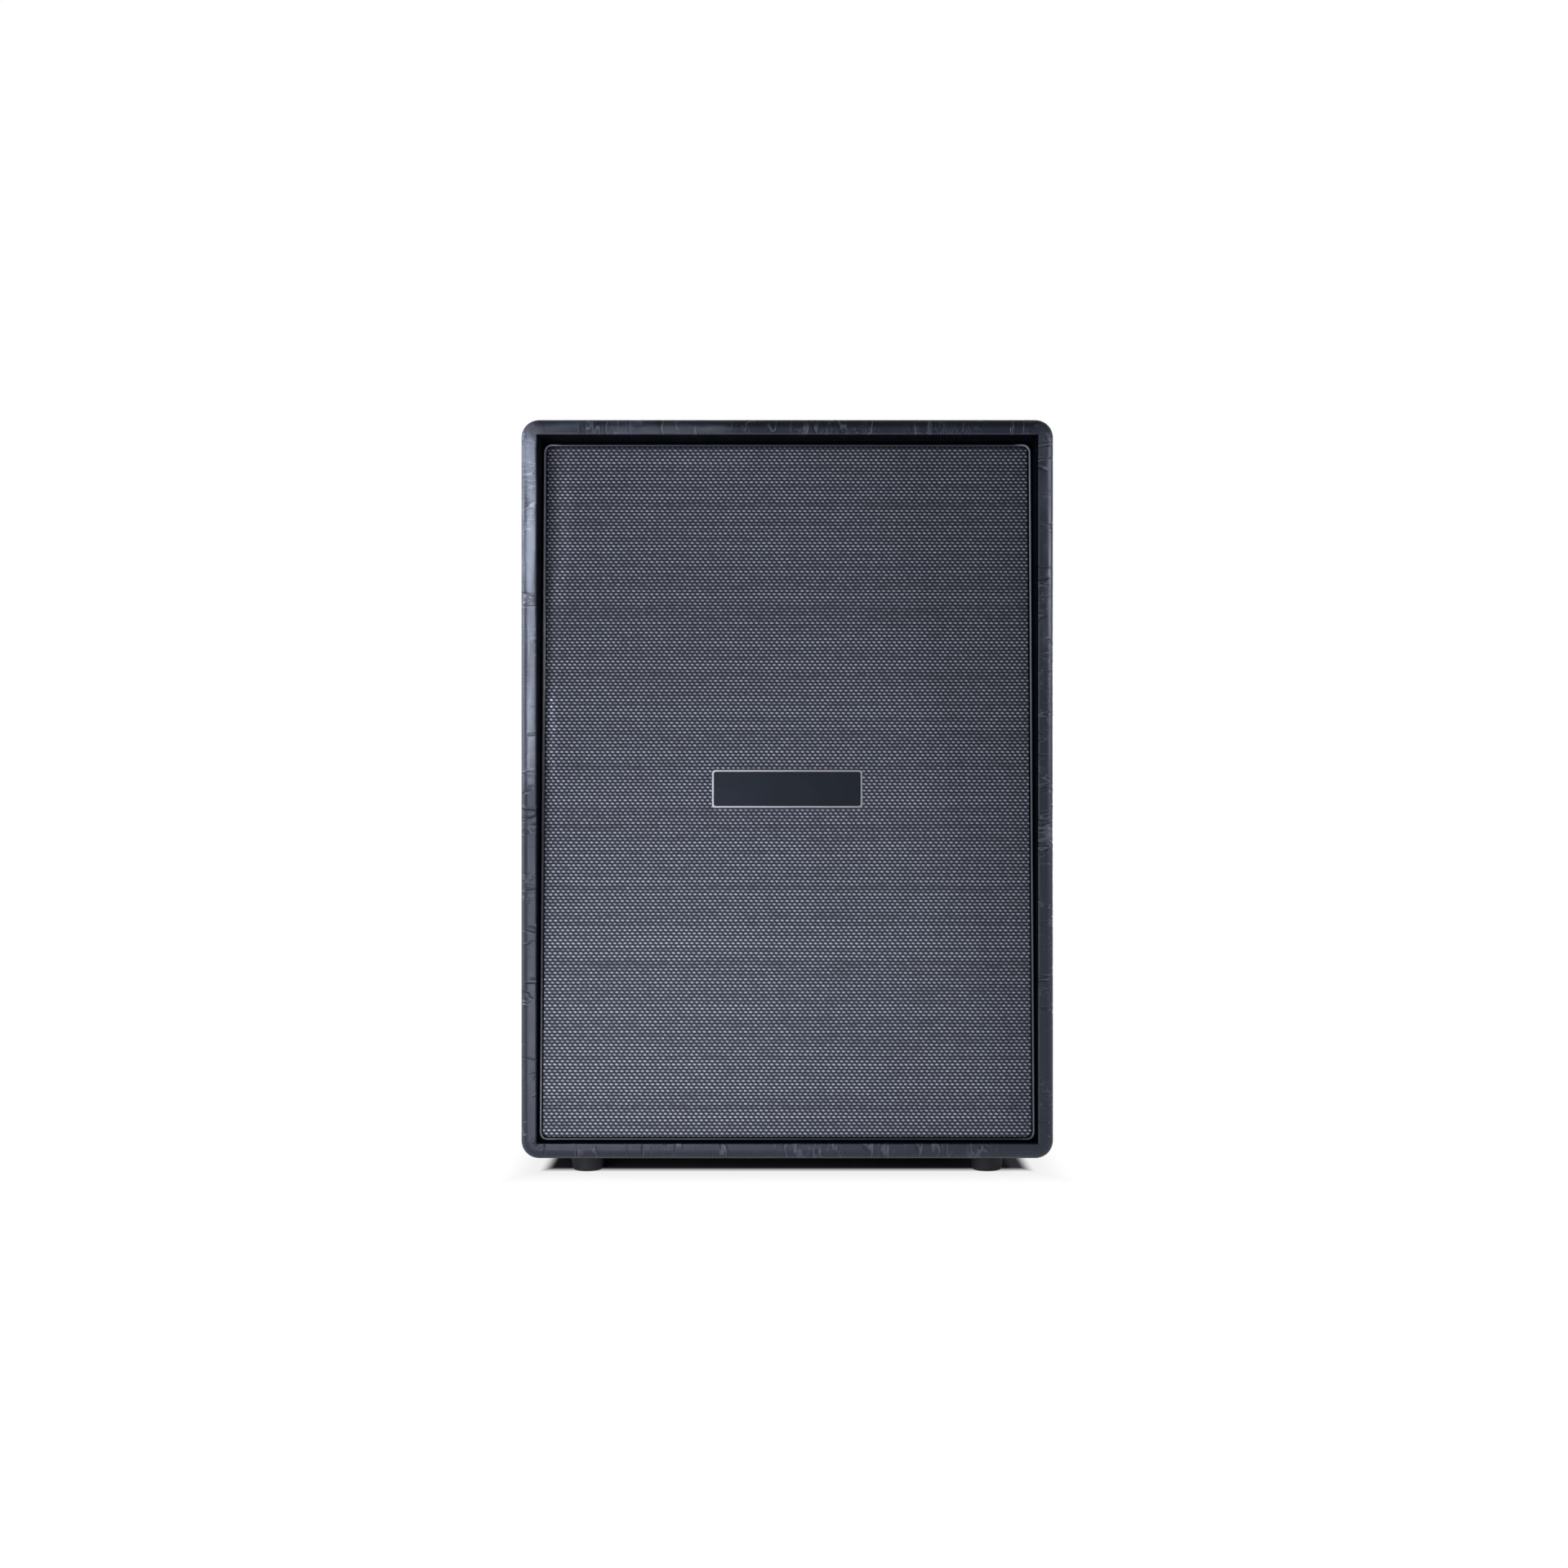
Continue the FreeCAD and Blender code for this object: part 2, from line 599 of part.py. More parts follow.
def gasket():
    band = ring(DRIVER_DIAMETER / 2 - SEAT_GAP, CUTOUT_DIAMETER / 2, FRAME_FACE, 0)
    hole = rod(BOLT_RADIUS + SCREW_GAP, FRAME_FACE, 0)
    return band.cut([aimed(hole, point, UP) for point in bolt_points(FRAME_HOLES)])


def terminal_strip(turn):
    """A fibre board with two tabs, riveted to the outside of one spoke."""
    (r0, z0), (r1, z1) = basket_wall()
    along = Vector(r1 - r0, 0, z1 - z0).normalize()
    across = Vector(0, 1, 0)
    outward = along.cross(across)
    middle = Vector((r0 + r1) / 2, 0, (z0 + z1) / 2) + outward * BASKET_SHEET
    pieces = [centred_block(TERMINAL_LENGTH, TERMINAL_WIDTH, 0, TERMINAL_BOARD)]
    for y in (-TAB_SPACING / 2, TAB_SPACING / 2):
        tab = centred_block(TAB_THICKNESS, TAB_WIDTH, TERMINAL_BOARD, TERMINAL_BOARD + TAB_LENGTH)
        pieces.append(placed(tab, Placement(Vector(0, y, 0), Rotation())))
    place = Placement(Vector(0, 0, 0), Rotation(UP, turn))
    place = place.multiply(Placement(middle, Rotation(along, across, outward, "ZXY")))
    return [placed(piece, place) for piece in pieces]


def magnet():
    low, high = SEAT - FRONT_PLATE - MAGNET, SEAT - FRONT_PLATE
    body = ring(MAGNET_RADIUS, MAGNET_BORE_RADIUS, low, high)
    circles = [edge for edge in body.Edges if isinstance(edge.Curve, Part.Circle)]
    rims = [edge for edge in circles if abs(edge.Curve.Radius - MAGNET_RADIUS) < NEAR]
    return body.makeChamfer(MAGNET_CHAMFER, rims)


def back_plate():
    high = SEAT - FRONT_PLATE - MAGNET
    disc = rod(FRONT_PLATE_RADIUS, high - BACK_PLATE, high)
    return disc.fuse(rod(POLE_RADIUS, high, SEAT)).removeSplitter()


def voice_coil():
    centre = SEAT - FRONT_PLATE / 2
    low = centre - COIL_WINDING_LENGTH / 2
    former = ring(COIL_OUTSIDE, COIL_RADIUS, low, -CONE_NECK_DEPTH)
    winding = ring(COIL_OUTSIDE + COIL_WINDING, COIL_OUTSIDE, low, low + COIL_WINDING_LENGTH)
    return former.fuse(winding).removeSplitter()


def spider():
    """A corrugated disc from the voice coil to the basket's ledge."""
    level = -BASKET_LEDGE_DEPTH
    crown = BASKET_LEDGE_RADIUS - BASKET_LEDGE_WIDTH
    collar = NECK_RADIUS + COIL_WINDING + COIL_GAP
    line = [(NECK_RADIUS, level)] + wave(collar, crown, level, SPIDER_ROLL_HEIGHT, SPIDER_ROLLS)
    return turned_sheet(line + [(BASKET_LEDGE_RADIUS - SEAT_GAP, level)], SPIDER_SHEET)


def edge():
    """The corrugated rim that carries the cone, glued to the basket's flat rim."""
    lip = (CONE_RADIUS - CONE_LIP, FRAME_FACE)
    rolls = wave(CONE_RADIUS, BASKET_THROAT_RADIUS - EDGE_SHEET, FRAME_FACE, EDGE_ROLL_HEIGHT, EDGE_ROLLS)
    return turned_sheet([lip] + rolls + [(CUTOUT_DIAMETER / 2 - SEAT_GAP, FRAME_FACE)], EDGE_SHEET)


def cone_curve():
    """The flare of the cone's front face, from its outer lip to its neck."""
    rim = Vector(CONE_RADIUS - CONE_LIP, 0, CONE_LEVEL)
    neck = Vector(NECK_RADIUS, 0, -CONE_NECK_DEPTH)
    chord = rim - neck
    forward = Vector(-chord.z, 0, chord.x).normalize()
    return Part.Arc(rim, (rim + neck) * 0.5 + forward * CONE_BOW, neck)


def cone():
    front = cone_curve()
    rim, neck = front.StartPoint, front.EndPoint
    steepness = (rim - neck).getAngle(Vector(1, 0, 0))
    drop = Vector(0, 0, -CONE_SHEET / math.cos(steepness))
    lip = Vector(CONE_RADIUS, 0, CONE_LEVEL)
    edges = [Part.LineSegment(lip, rim).toShape(), front.toShape()]
    back = front.toShape().copy()
    back.translate(drop)
    edges.append(Part.LineSegment(neck, neck + drop).toShape())
    edges.append(back)
    edges.append(Part.LineSegment(rim + drop, lip + drop).toShape())
    edges.append(Part.LineSegment(lip + drop, lip).toShape())
    return Part.Face(Part.Wire(Part.__sortEdges__(edges))).revolve(Vector(0, 0, 0), UP, 360)


def dust_cap():
    """A shallow dome over the neck, glued to the cone's front face."""
    circle = cone_curve().toShape().Curve
    centre, radius = circle.Center, circle.Radius
    seat = centre.z + math.sqrt(radius ** 2 - (DUST_CAP_RADIUS - centre.x) ** 2) + SEAT_GAP
    ball = (DUST_CAP_RADIUS ** 2 + DUST_CAP_HEIGHT ** 2) / (2 * DUST_CAP_HEIGHT)
    half = math.asin(DUST_CAP_RADIUS / ball) / 2
    top = Vector(0, 0, seat + DUST_CAP_HEIGHT)
    middle = Vector(ball * math.sin(half), 0, top.z - ball + ball * math.cos(half))
    rim = Vector(DUST_CAP_RADIUS, 0, seat)
    rise = Vector(0, 0, DUST_CAP_SHEET)
    edges = [Part.Arc(top, middle, rim).toShape(), Part.LineSegment(rim, rim + rise).toShape()]
    edges.append(Part.Arc(rim + rise, middle + rise, top + rise).toShape())
    edges.append(Part.LineSegment(top + rise, top).toShape())
    return Part.Face(Part.Wire(edges)).revolve(Vector(0, 0, 0), UP, 360)


def make_drivers():
    front_plate = ring(FRONT_PLATE_RADIUS, GAP_RADIUS, SEAT - FRONT_PLATE, SEAT)
    shapes = {
        "basket": basket(), "gasket": gasket(), "front_plate": front_plate, "magnet": magnet(),
        "back_plate": back_plate(), "edge": edge(), "spider": spider(), "cone": cone(),
        "dust_cap": dust_cap(), "voice_coil": voice_coil(),
    }
    head_seat = FRAME_FACE - BASKET_SHEET
    bolt_length = BAFFLE + TEE_FLANGE - head_seat
    bolt = screw(BOLT_RADIUS, bolt_length, BOLT_HEAD_RADIUS, BOLT_HEAD)
    bolts = []
    for name, sign in DRIVERS.items():
        for piece, shape in shapes.items():
            save(f"{name}_{piece}", on_driver(shape, sign))
        strip = terminal_strip(-TERMINAL_TURN * sign)
        save(f"{name}_terminal_strip", *[on_driver(piece, sign) for piece in strip])
        for point in bolt_points(BOLT_COUNT):
            bolts.append(on_driver(aimed(bolt, point + Vector(0, 0, head_seat), DOWN), sign))
    save("speaker_bolts", *bolts)


# Half-open back

def back_panel(sign):
    """A panel at the top (sign 1) or bottom (sign -1) of the rear opening."""
    x = OPENING_WIDTH / 2 - BACK_GAP
    outer = MIDDLE + sign * (OPENING_HEIGHT / 2 - BACK_GAP)
    z = sorted((outer, outer - sign * BACK_PANEL_HEIGHT))
    panel = block((-x, x), (BACK_SEAT, BACK_FACE), z)
    return panel.makeFillet(BACK_EDGE_RADIUS, edges_at(panel, BACK_FACE, (CAB_WIDTH, BODY_HEIGHT)))


def back_screw_points(sign):
    """Screws down both sides of a back panel and along its outer edge, on the battens' middles."""
    outer = MIDDLE + sign * (OPENING_HEIGHT / 2 - BACK_GAP)
    across = HALF_WIDTH - WALL - BATTEN / 2
    rows = (outer - sign * BACK_SCREW_END, outer - sign * (BACK_PANEL_HEIGHT - BACK_SCREW_END))
    points = [Vector(x, BACK_FACE, z) for x in (-across, across) for z in rows]
    edge_row = MIDDLE + sign * (BODY_HEIGHT / 2 - WALL - BATTEN / 2)
    for index in range(BACK_SCREWS_ACROSS):
        x = BACK_SCREW_SPACING * (index - (BACK_SCREWS_ACROSS - 1) / 2)
        points.append(Vector(x, BACK_FACE, edge_row))
    return points


def make_back(plate_cuts):
    driven = screw(WOOD_SCREW_RADIUS, WOOD_SCREW_LENGTH, WOOD_SCREW_HEAD_RADIUS, WOOD_SCREW_HEAD)
    cup = ring(CUP_RADIUS, WOOD_SCREW_RADIUS + SCREW_GAP, 0, CUP)
    pilot = rod(WOOD_SCREW_RADIUS + SCREW_GAP, -WOOD_SCREW_LENGTH, 0)
    screws, cups, pilots = [], [], []
    panels = {"upper": back_panel(1), "lower": back_panel(-1).cut(plate_cuts)}
    for sign in DRIVERS.values():
        for point in back_screw_points(sign):
            screws.append(aimed(driven, point + REAR * CUP, REAR))
            cups.append(aimed(cup, point, REAR))
            pilots.append(aimed(pilot, point, REAR))
    for name, panel in panels.items():
        save(f"{name}_back_panel", panel.cut(pilots))
    depth = (BACK_SEAT - BATTEN, BACK_SEAT)
    battens = batten_frame(inner_space(WALL, *depth), depth)
    save("back_panel_battens", *[batten.cut(pilots) for batten in battens])
    save("back_panel_screws", *screws)
    save("back_panel_cups", *cups)


# Jack plate, in plate coordinates: Y up, Z out of the back, level 0 on the back panel's face

JACK_PLACE = Placement(Vector(0, BACK_FACE, JACK_HEIGHT), Rotation(Vector(1, 0, 0), -90))
JACK_PLACE = JACK_PLACE.multiply(Placement(Vector(0, 0, 0), Rotation(UP, 180)))
ROCKER_PIVOT = JACK_PLATE + SWITCH_BEZEL / 2
ROCKER_REACH = math.hypot(ROCKER_HALF_LENGTH, ROCKER_END_HEIGHT)
ROCKER_RISE = math.atan2(ROCKER_END_HEIGHT, ROCKER_HALF_LENGTH)
ROCKER_SWING = ROCKER_REACH * math.cos(ROCKER_RISE - math.radians(ROCKER_TILT))
SWITCH_HOLE_WIDTH = ROCKER_WIDTH + 2 * SEAT_GAP
SWITCH_HOLE_HEIGHT = 2 * (ROCKER_SWING + SEAT_GAP)
SWITCH_BODY_WIDTH = SWITCH_HOLE_WIDTH + 2 * SWITCH_WALL
SWITCH_BODY_HEIGHT = SWITCH_HOLE_HEIGHT + 2 * SWITCH_WALL


def on_plate(shape):
    return placed(shape, JACK_PLACE)


def shifted(shape, x, y=0.0, z=0.0):
    return placed(shape, Placement(Vector(x, y, z), Rotation()))


def jack_socket():
    """A boxed socket with a threaded bush and a blind bore for the plug."""
    body = centred_block(JACK_BODY_WIDTH, JACK_BODY_HEIGHT, -JACK_BODY_DEPTH, 0)
    mouth = JACK_PLATE + JACK_BUSH
    bush = rod(JACK_BUSH_RADIUS, 0, mouth)
    return body.fuse(bush).removeSplitter().cut(rod(JACK_BORE_RADIUS, mouth - JACK_BORE_DEPTH, mouth))


def jack_nut():
    corner = JACK_NUT_ACROSS / 2 / math.cos(math.pi / 6)
    angles = [math.pi / 3 * index for index in range(7)]
    corners = [Vector(corner * math.cos(a), corner * math.sin(a), JACK_PLATE) for a in angles]
    prism = Part.Face(Part.makePolygon(corners)).extrude(Vector(0, 0, JACK_NUT))
    return prism.cut(rod(JACK_BUSH_RADIUS + SCREW_GAP, JACK_PLATE, JACK_PLATE + JACK_NUT))


def rocker_axle(radius, length):
    axle = Part.makeCylinder(radius, length, Vector(-length / 2, 0, 0), Vector(1, 0, 0))
    return shifted(axle, 0, 0, ROCKER_PIVOT)


def switch_body():
    bezel = rounded_plate(
        SWITCH_BEZEL_WIDTH, SWITCH_BEZEL_HEIGHT, SWITCH_WALL, JACK_PLATE, JACK_PLATE + SWITCH_BEZEL)
    body = centred_block(SWITCH_BODY_WIDTH, SWITCH_BODY_HEIGHT, -SWITCH_BODY_DEPTH, JACK_PLATE)
    floor = ROCKER_PIVOT - ROCKER_HALF_LENGTH - SEAT_GAP
    well = centred_block(SWITCH_HOLE_WIDTH, SWITCH_HOLE_HEIGHT, floor, JACK_PLATE + SWITCH_BEZEL)
    pin_length = ROCKER_WIDTH + 2 * ROCKER_PIN + 4 * SEAT_GAP
    pin_ways = rocker_axle(ROCKER_PIN_RADIUS + SEAT_GAP, pin_length)
    return bezel.fuse(body).removeSplitter().cut([well, pin_ways])


def rocker():
    """A tipped key with a dished top and a round underside, on two stub pins."""
    half, top = ROCKER_HALF_LENGTH, ROCKER_END_HEIGHT
    left, right = Vector(0, -half, 0), Vector(0, half, 0)
    outline = [Part.Arc(left, Vector(0, 0, -half), right).toShape()]
    rise = Vector(0, 0, top)
    dish = Part.Arc(right + rise, Vector(0, 0, top - ROCKER_DIP), left + rise).toShape()
    outline += [Part.LineSegment(right, right + rise).toShape(), dish]
    outline.append(Part.LineSegment(left + rise, left).toShape())
    key = Part.Face(Part.Wire(outline)).extrude(Vector(ROCKER_WIDTH, 0, 0))
    key = shifted(key, -ROCKER_WIDTH / 2, 0, ROCKER_PIVOT)
    key = key.fuse(rocker_axle(ROCKER_PIN_RADIUS, ROCKER_WIDTH + 2 * ROCKER_PIN + 2 * SEAT_GAP))
    key.rotate(Vector(0, 0, ROCKER_PIVOT), Vector(1, 0, 0), ROCKER_TILT)
    return key


def plate_screw_points():
    x = JACK_PLATE_WIDTH / 2 - JACK_PLATE_SCREW_INSET
    y = JACK_PLATE_HEIGHT / 2 - JACK_PLATE_SCREW_INSET
    return [Vector(sx * x, sy * y, 0) for sx in (-1, 1) for sy in (-1, 1)]


def make_jack_plate():
    """The plate and all that it carries; returns the cuts that it needs in the back panel."""
    plate = rounded_plate(JACK_PLATE_WIDTH, JACK_PLATE_HEIGHT, JACK_PLATE_CORNER, 0, JACK_PLATE)
    switch_hole = (SWITCH_BODY_WIDTH + 2 * PLATE_GAP, SWITCH_BODY_HEIGHT + 2 * PLATE_GAP)
    holes = [centred_block(*switch_hole, 0, JACK_PLATE)]
    for name, sign in SIDES.items():
        x = -sign * JACK_SPACING / 2
        holes.append(shifted(rod(JACK_BUSH_RADIUS + PLATE_GAP, 0, JACK_PLATE), x))
        save(f"{name}_jack_socket", on_plate(shifted(jack_socket(), x)))
    nuts = [on_plate(shifted(jack_nut(), sign * JACK_SPACING / 2)) for sign in SIDES.values()]
    driven = screw(PLATE_SCREW_RADIUS, PLATE_SCREW_LENGTH, PLATE_SCREW_HEAD_RADIUS, PLATE_SCREW_HEAD)
    pilot = rod(PLATE_SCREW_RADIUS + SCREW_GAP, -PLATE_SCREW_LENGTH, 0)
    face = Vector(0, 0, JACK_PLATE)
    pilots = [aimed(pilot, point + face, UP) for point in plate_screw_points()]
    screws = [on_plate(aimed(driven, point + face, UP)) for point in plate_screw_points()]
    save("jack_plate", on_plate(plate.cut(holes + pilots)))
    save("jack_nuts", *nuts)
    save("switch_body", on_plate(switch_body()))
    save("switch_rocker", on_plate(rocker()))
    save("jack_plate_screws", *screws)
    hole = centred_block(JACK_PLATE_HOLE_WIDTH, JACK_PLATE_HOLE_HEIGHT, -BACK_PANEL, 0)
    return [on_plate(cut) for cut in [hole] + pilots]


# Side handles, in handle coordinates: Y up, Z out of the side, level 0 on the covering's face

def handle_place(sign):
    point = Vector(sign * HALF_WIDTH, HANDLE_BEHIND_MIDDLE, HANDLE_HEIGHT)
    return Placement(point, Rotation(Vector(0, sign, 0), UP, Vector(sign, 0, 0), "ZXY"))


def handle_screw_points():
    x = HANDLE_FLANGE_WIDTH / 2 - HANDLE_SCREW_INSET
    y = HANDLE_FLANGE_HEIGHT / 2 - HANDLE_SCREW_INSET
    return [Vector(sx * x, sy * y, -PLATE_SCREW_HEAD) for sx in (-1, 1) for sy in (-1, 1)]


def handle_well():
    floor = HANDLE_WALL - HANDLE_DEPTH
    mouth = (HANDLE_MOUTH_WIDTH, HANDLE_MOUTH_HEIGHT)
    return tapered_well(*mouth, HANDLE_MOUTH_RADIUS, HANDLE_TAPER, floor, 0)


def handle_dish():
    """A moulded cup with a flush flange, rounded at the mouth and round the rim."""
    outside = (HANDLE_FLANGE_WIDTH, HANDLE_FLANGE_HEIGHT)
    flange = rounded_plate(*outside, HANDLE_FLANGE_RADIUS, -HANDLE_FLANGE, 0)
    wide = (HANDLE_MOUTH_WIDTH + 2 * HANDLE_WALL, HANDLE_MOUTH_HEIGHT + 2 * HANDLE_WALL)
    bend = HANDLE_MOUTH_RADIUS + HANDLE_WALL
    cup = tapered_well(*wide, bend, HANDLE_TAPER, -HANDLE_DEPTH, -HANDLE_FLANGE)
    dish = flange.fuse(cup).cut(handle_well())
    lips = [edge for edge in dish.Edges if edge.BoundBox.ZMin > -NEAR]
    dish = dish.makeFillet(min(HANDLE_LIP_RADIUS, HANDLE_FLANGE / 2), lips)
    screw_ways = []
    for point in handle_screw_points():
        screw_ways.append(aimed(rod(PLATE_SCREW_HEAD_RADIUS + SCREW_GAP, 0, PLATE_SCREW_HEAD), point, UP))
        screw_ways.append(aimed(rod(PLATE_SCREW_RADIUS + SCREW_GAP, -HANDLE_FLANGE, 0), point, UP))
    return dish.cut(screw_ways)


def handle_grip():
    """A round bar across the cup, ended by the cup's own walls."""
    bar = Part.makeCylinder(
        HANDLE_GRIP_RADIUS, HANDLE_MOUTH_WIDTH, Vector(-HANDLE_MOUTH_WIDTH / 2, 0, 0), Vector(1, 0, 0))
    return shifted(bar, 0, HANDLE_GRIP_RISE, -HANDLE_GRIP_SET).common(handle_well())


def make_handles():
    """Both handles; returns the cuts that each needs in its side of the box."""
    flange = (HANDLE_FLANGE_WIDTH + 2 * PLATE_GAP, HANDLE_FLANGE_HEIGHT + 2 * PLATE_GAP)
    rebate = rounded_plate(*flange, HANDLE_FLANGE_RADIUS + PLATE_GAP, -HANDLE_FLANGE, 0)
    around_cup = 2 * (HANDLE_WALL + PLATE_GAP)
    mouth = (HANDLE_MOUTH_WIDTH + around_cup, HANDLE_MOUTH_HEIGHT + around_cup)
    aperture = rounded_plate(*mouth, HANDLE_MOUTH_RADIUS + HANDLE_WALL + PLATE_GAP, -WALL, -HANDLE_FLANGE)
    driven = screw(PLATE_SCREW_RADIUS, HANDLE_SCREW_LENGTH, PLATE_SCREW_HEAD_RADIUS, PLATE_SCREW_HEAD)
    pilot = rod(PLATE_SCREW_RADIUS + SCREW_GAP, -HANDLE_SCREW_LENGTH, 0)
    cuts, screws = {}, []
    for side, sign in SIDES.items():
        place = handle_place(sign)
        pilots = [aimed(pilot, point, UP) for point in handle_screw_points()]
        cuts[side] = [placed(cut, place) for cut in [rebate, aperture] + pilots]
        screws += [placed(aimed(driven, point, UP), place) for point in handle_screw_points()]
        save(f"{side}_handle_dish", placed(handle_dish(), place))
        save(f"{side}_handle_grip", placed(handle_grip(), place))
    save("handle_screws", *screws)
    return cuts


# Feet

def rubber_foot():
    """A tapered foot with a rounded toe and a deep hole for its washer and screw."""
    outline = [(0, 0), (FOOT_TOE_RADIUS, 0), (FOOT_RADIUS, FOOT_HEIGHT), (0, FOOT_HEIGHT)]
    foot = turned(outline)
    toe = [edge for edge in foot.Edges if edge.BoundBox.ZMax < NEAR and isinstance(edge.Curve, Part.Circle)]
    foot = foot.makeFillet(FOOT_EDGE_RADIUS, toe)
    bore = rod(FOOT_COUNTERBORE_RADIUS, 0, FOOT_COUNTERBORE)
    return foot.cut([bore, rod(WOOD_SCREW_RADIUS + SCREW_GAP, 0, FOOT_HEIGHT)])


def make_feet():
    """All feet; returns the screw holes that they need in the bottom of the box."""
    washer = ring(
        FOOT_WASHER_RADIUS, WOOD_SCREW_RADIUS + SCREW_GAP, FOOT_COUNTERBORE - FOOT_WASHER, FOOT_COUNTERBORE)
    driven = screw(WOOD_SCREW_RADIUS, FOOT_SCREW_LENGTH, WOOD_SCREW_HEAD_RADIUS, WOOD_SCREW_HEAD)
    pilot = rod(WOOD_SCREW_RADIUS + SCREW_GAP, -FOOT_SCREW_LENGTH, 0)
    head_seat = Vector(0, 0, FOOT_COUNTERBORE - FOOT_WASHER)
    feet, washers, screws, pilots = [], [], [], []
    for x in (FOOT_INSET_SIDE - HALF_WIDTH, HALF_WIDTH - FOOT_INSET_SIDE):
        for y in (FRONT + FOOT_INSET_FRONT, BACK - FOOT_INSET_FRONT):
            point = Vector(x, y, 0)
            feet.append(aimed(rubber_foot(), point, UP))
            washers.append(aimed(washer, point, UP))
            screws.append(aimed(driven, point + head_seat, DOWN))
            pilots.append(aimed(pilot, point + head_seat, DOWN))
    save("rubber_feet", *feet)
    save("foot_washers", *washers)
    save("foot_screws", *screws)
    return pilots


def main():
    os.makedirs("parts", exist_ok=True)
    make_box(make_handles(), make_feet())
    make_baffle()
    make_grille(make_badge())
    make_drivers()
    make_back(make_jack_plate())


main()
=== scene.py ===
"""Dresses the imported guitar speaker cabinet: materials, grille cloth, trim, fasteners and a studio."""

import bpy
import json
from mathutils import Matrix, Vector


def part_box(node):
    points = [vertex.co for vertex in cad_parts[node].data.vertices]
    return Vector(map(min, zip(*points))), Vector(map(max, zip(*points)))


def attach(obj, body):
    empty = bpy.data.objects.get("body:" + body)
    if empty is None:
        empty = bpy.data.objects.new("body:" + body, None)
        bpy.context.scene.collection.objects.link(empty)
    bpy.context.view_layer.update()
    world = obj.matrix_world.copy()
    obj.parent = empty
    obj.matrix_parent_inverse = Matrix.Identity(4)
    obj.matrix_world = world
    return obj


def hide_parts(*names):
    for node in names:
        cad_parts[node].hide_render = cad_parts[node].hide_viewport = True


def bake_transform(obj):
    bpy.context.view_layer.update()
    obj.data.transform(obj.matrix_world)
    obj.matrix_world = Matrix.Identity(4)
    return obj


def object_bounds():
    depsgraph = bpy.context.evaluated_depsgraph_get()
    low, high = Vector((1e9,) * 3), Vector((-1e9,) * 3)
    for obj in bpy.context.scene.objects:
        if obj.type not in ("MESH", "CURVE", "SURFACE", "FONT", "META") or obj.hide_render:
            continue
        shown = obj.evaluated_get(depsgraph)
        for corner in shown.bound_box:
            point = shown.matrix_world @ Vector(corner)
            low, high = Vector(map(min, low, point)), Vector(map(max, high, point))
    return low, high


bl_info = {
    "name": "Guitar speaker cabinet",
    "version": (1, 0, 0),
    "blender": (4, 5, 0),
    "location": "3D View > Sidebar > Cabinet",
    "description": "Materials, grille cloth, trim, fasteners and studio for the packed speaker cabinet",
    "category": "Object",
}

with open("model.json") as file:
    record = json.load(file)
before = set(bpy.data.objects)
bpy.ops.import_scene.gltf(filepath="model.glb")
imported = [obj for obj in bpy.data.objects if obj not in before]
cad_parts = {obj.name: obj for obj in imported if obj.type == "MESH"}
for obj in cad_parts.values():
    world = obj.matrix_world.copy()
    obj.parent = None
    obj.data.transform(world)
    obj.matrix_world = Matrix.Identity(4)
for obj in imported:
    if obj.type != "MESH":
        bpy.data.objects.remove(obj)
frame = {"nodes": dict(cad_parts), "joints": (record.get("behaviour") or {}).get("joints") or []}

import json
import math

import bmesh
import bpy
from bpy.props import FloatProperty, FloatVectorProperty, PointerProperty
from mathutils import Matrix, Vector

CAD_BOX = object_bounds()

# Sizes in metres
CLOTH = 0.0007
CLOTH_TURN = 0.0122
CLOTH_EDGE = 0.0012
CLOTH_CORNER = 0.005
PIPING = 0.004
PIPING_CREST = 0.0003
EDGE_ROLL = 0.0019
EDGE_LAND = 0.003
EDGE_BAND = 0.010
EDGE_SHEET = 0.001
SPIDER_ROLL = 0.0016
SPIDER_COLLAR = 0.0013
SPIDER_LAND = 0.0117
SPIDER_SHEET = 0.0008
SPIDER_THREAD = 0.0011
BADGE_BORDER = 0.0016
BADGE_BEND = 0.0022
BADGE_STEP = (-0.0002, 0.0001)
PLY = 0.0015
CONE_RIB = 0.016
WOOD_HEAD = 0.002
PLATE_HEAD = 0.0016
WELD = 1e-6
FLOOR_REACH = 40.0

# Where a finish starts and ends its change, in metres
PIPING_SIDES = (0.225, 0.24)
PIPING_RISE = (-0.05, 0.3)
RIBS_FROM = (0.05, 0.06)
# Edge of the painted shade on the recess walls
RECESS_SHADE_EDGE = (0.0020, 0.0012)
CORNER_TURN = (-0.010, 0.010)
LIP_DEPTH = (-0.09, -0.14)
SHADOW_EDGE = (-0.056, -0.026)
SHADOW_FAR = (-0.022, 0.045)

# Counts
CORNER_STEPS = 8
EDGE_ROLLS = 2
SPIDER_ROLLS = 6
LATHE_STEPS = 128
ROLL_STEPS = 12
HEAD_STEPS = 24
DOME_STEPS = 6

# Screws and cup washers, as shares of their radius and height
SCREW_SHANK = 0.5
SCREW_TIP = 0.3
HEAD_SIDE = 0.35
HEAD_FLAT = 0.25
RECESS_REACH = 0.62
RECESS_WIDTH = 0.13
RECESS_DEPTH = 0.6
CUP_PROFILE = ((1, 0), (0.97, 0.25), (0.66, 1), (0.36, 1), (0.36, 0))

# Faces that meet at a greater angle keep a sharp edge
SHARP = math.radians(35)

# Depth of the relief of each finish, in metres
RELIEF = {
    "weave": 0.0004,
    "timber": 0.0002,
    "plate": 0.00002,
    "cord": 0.00006,
    "paper": 0.0004,
    "stiffened_cloth": 0.0002,
    "loops": 0.0006,
    "turned_steel": 0.00003,
    "ferrite": 0.0003,
}

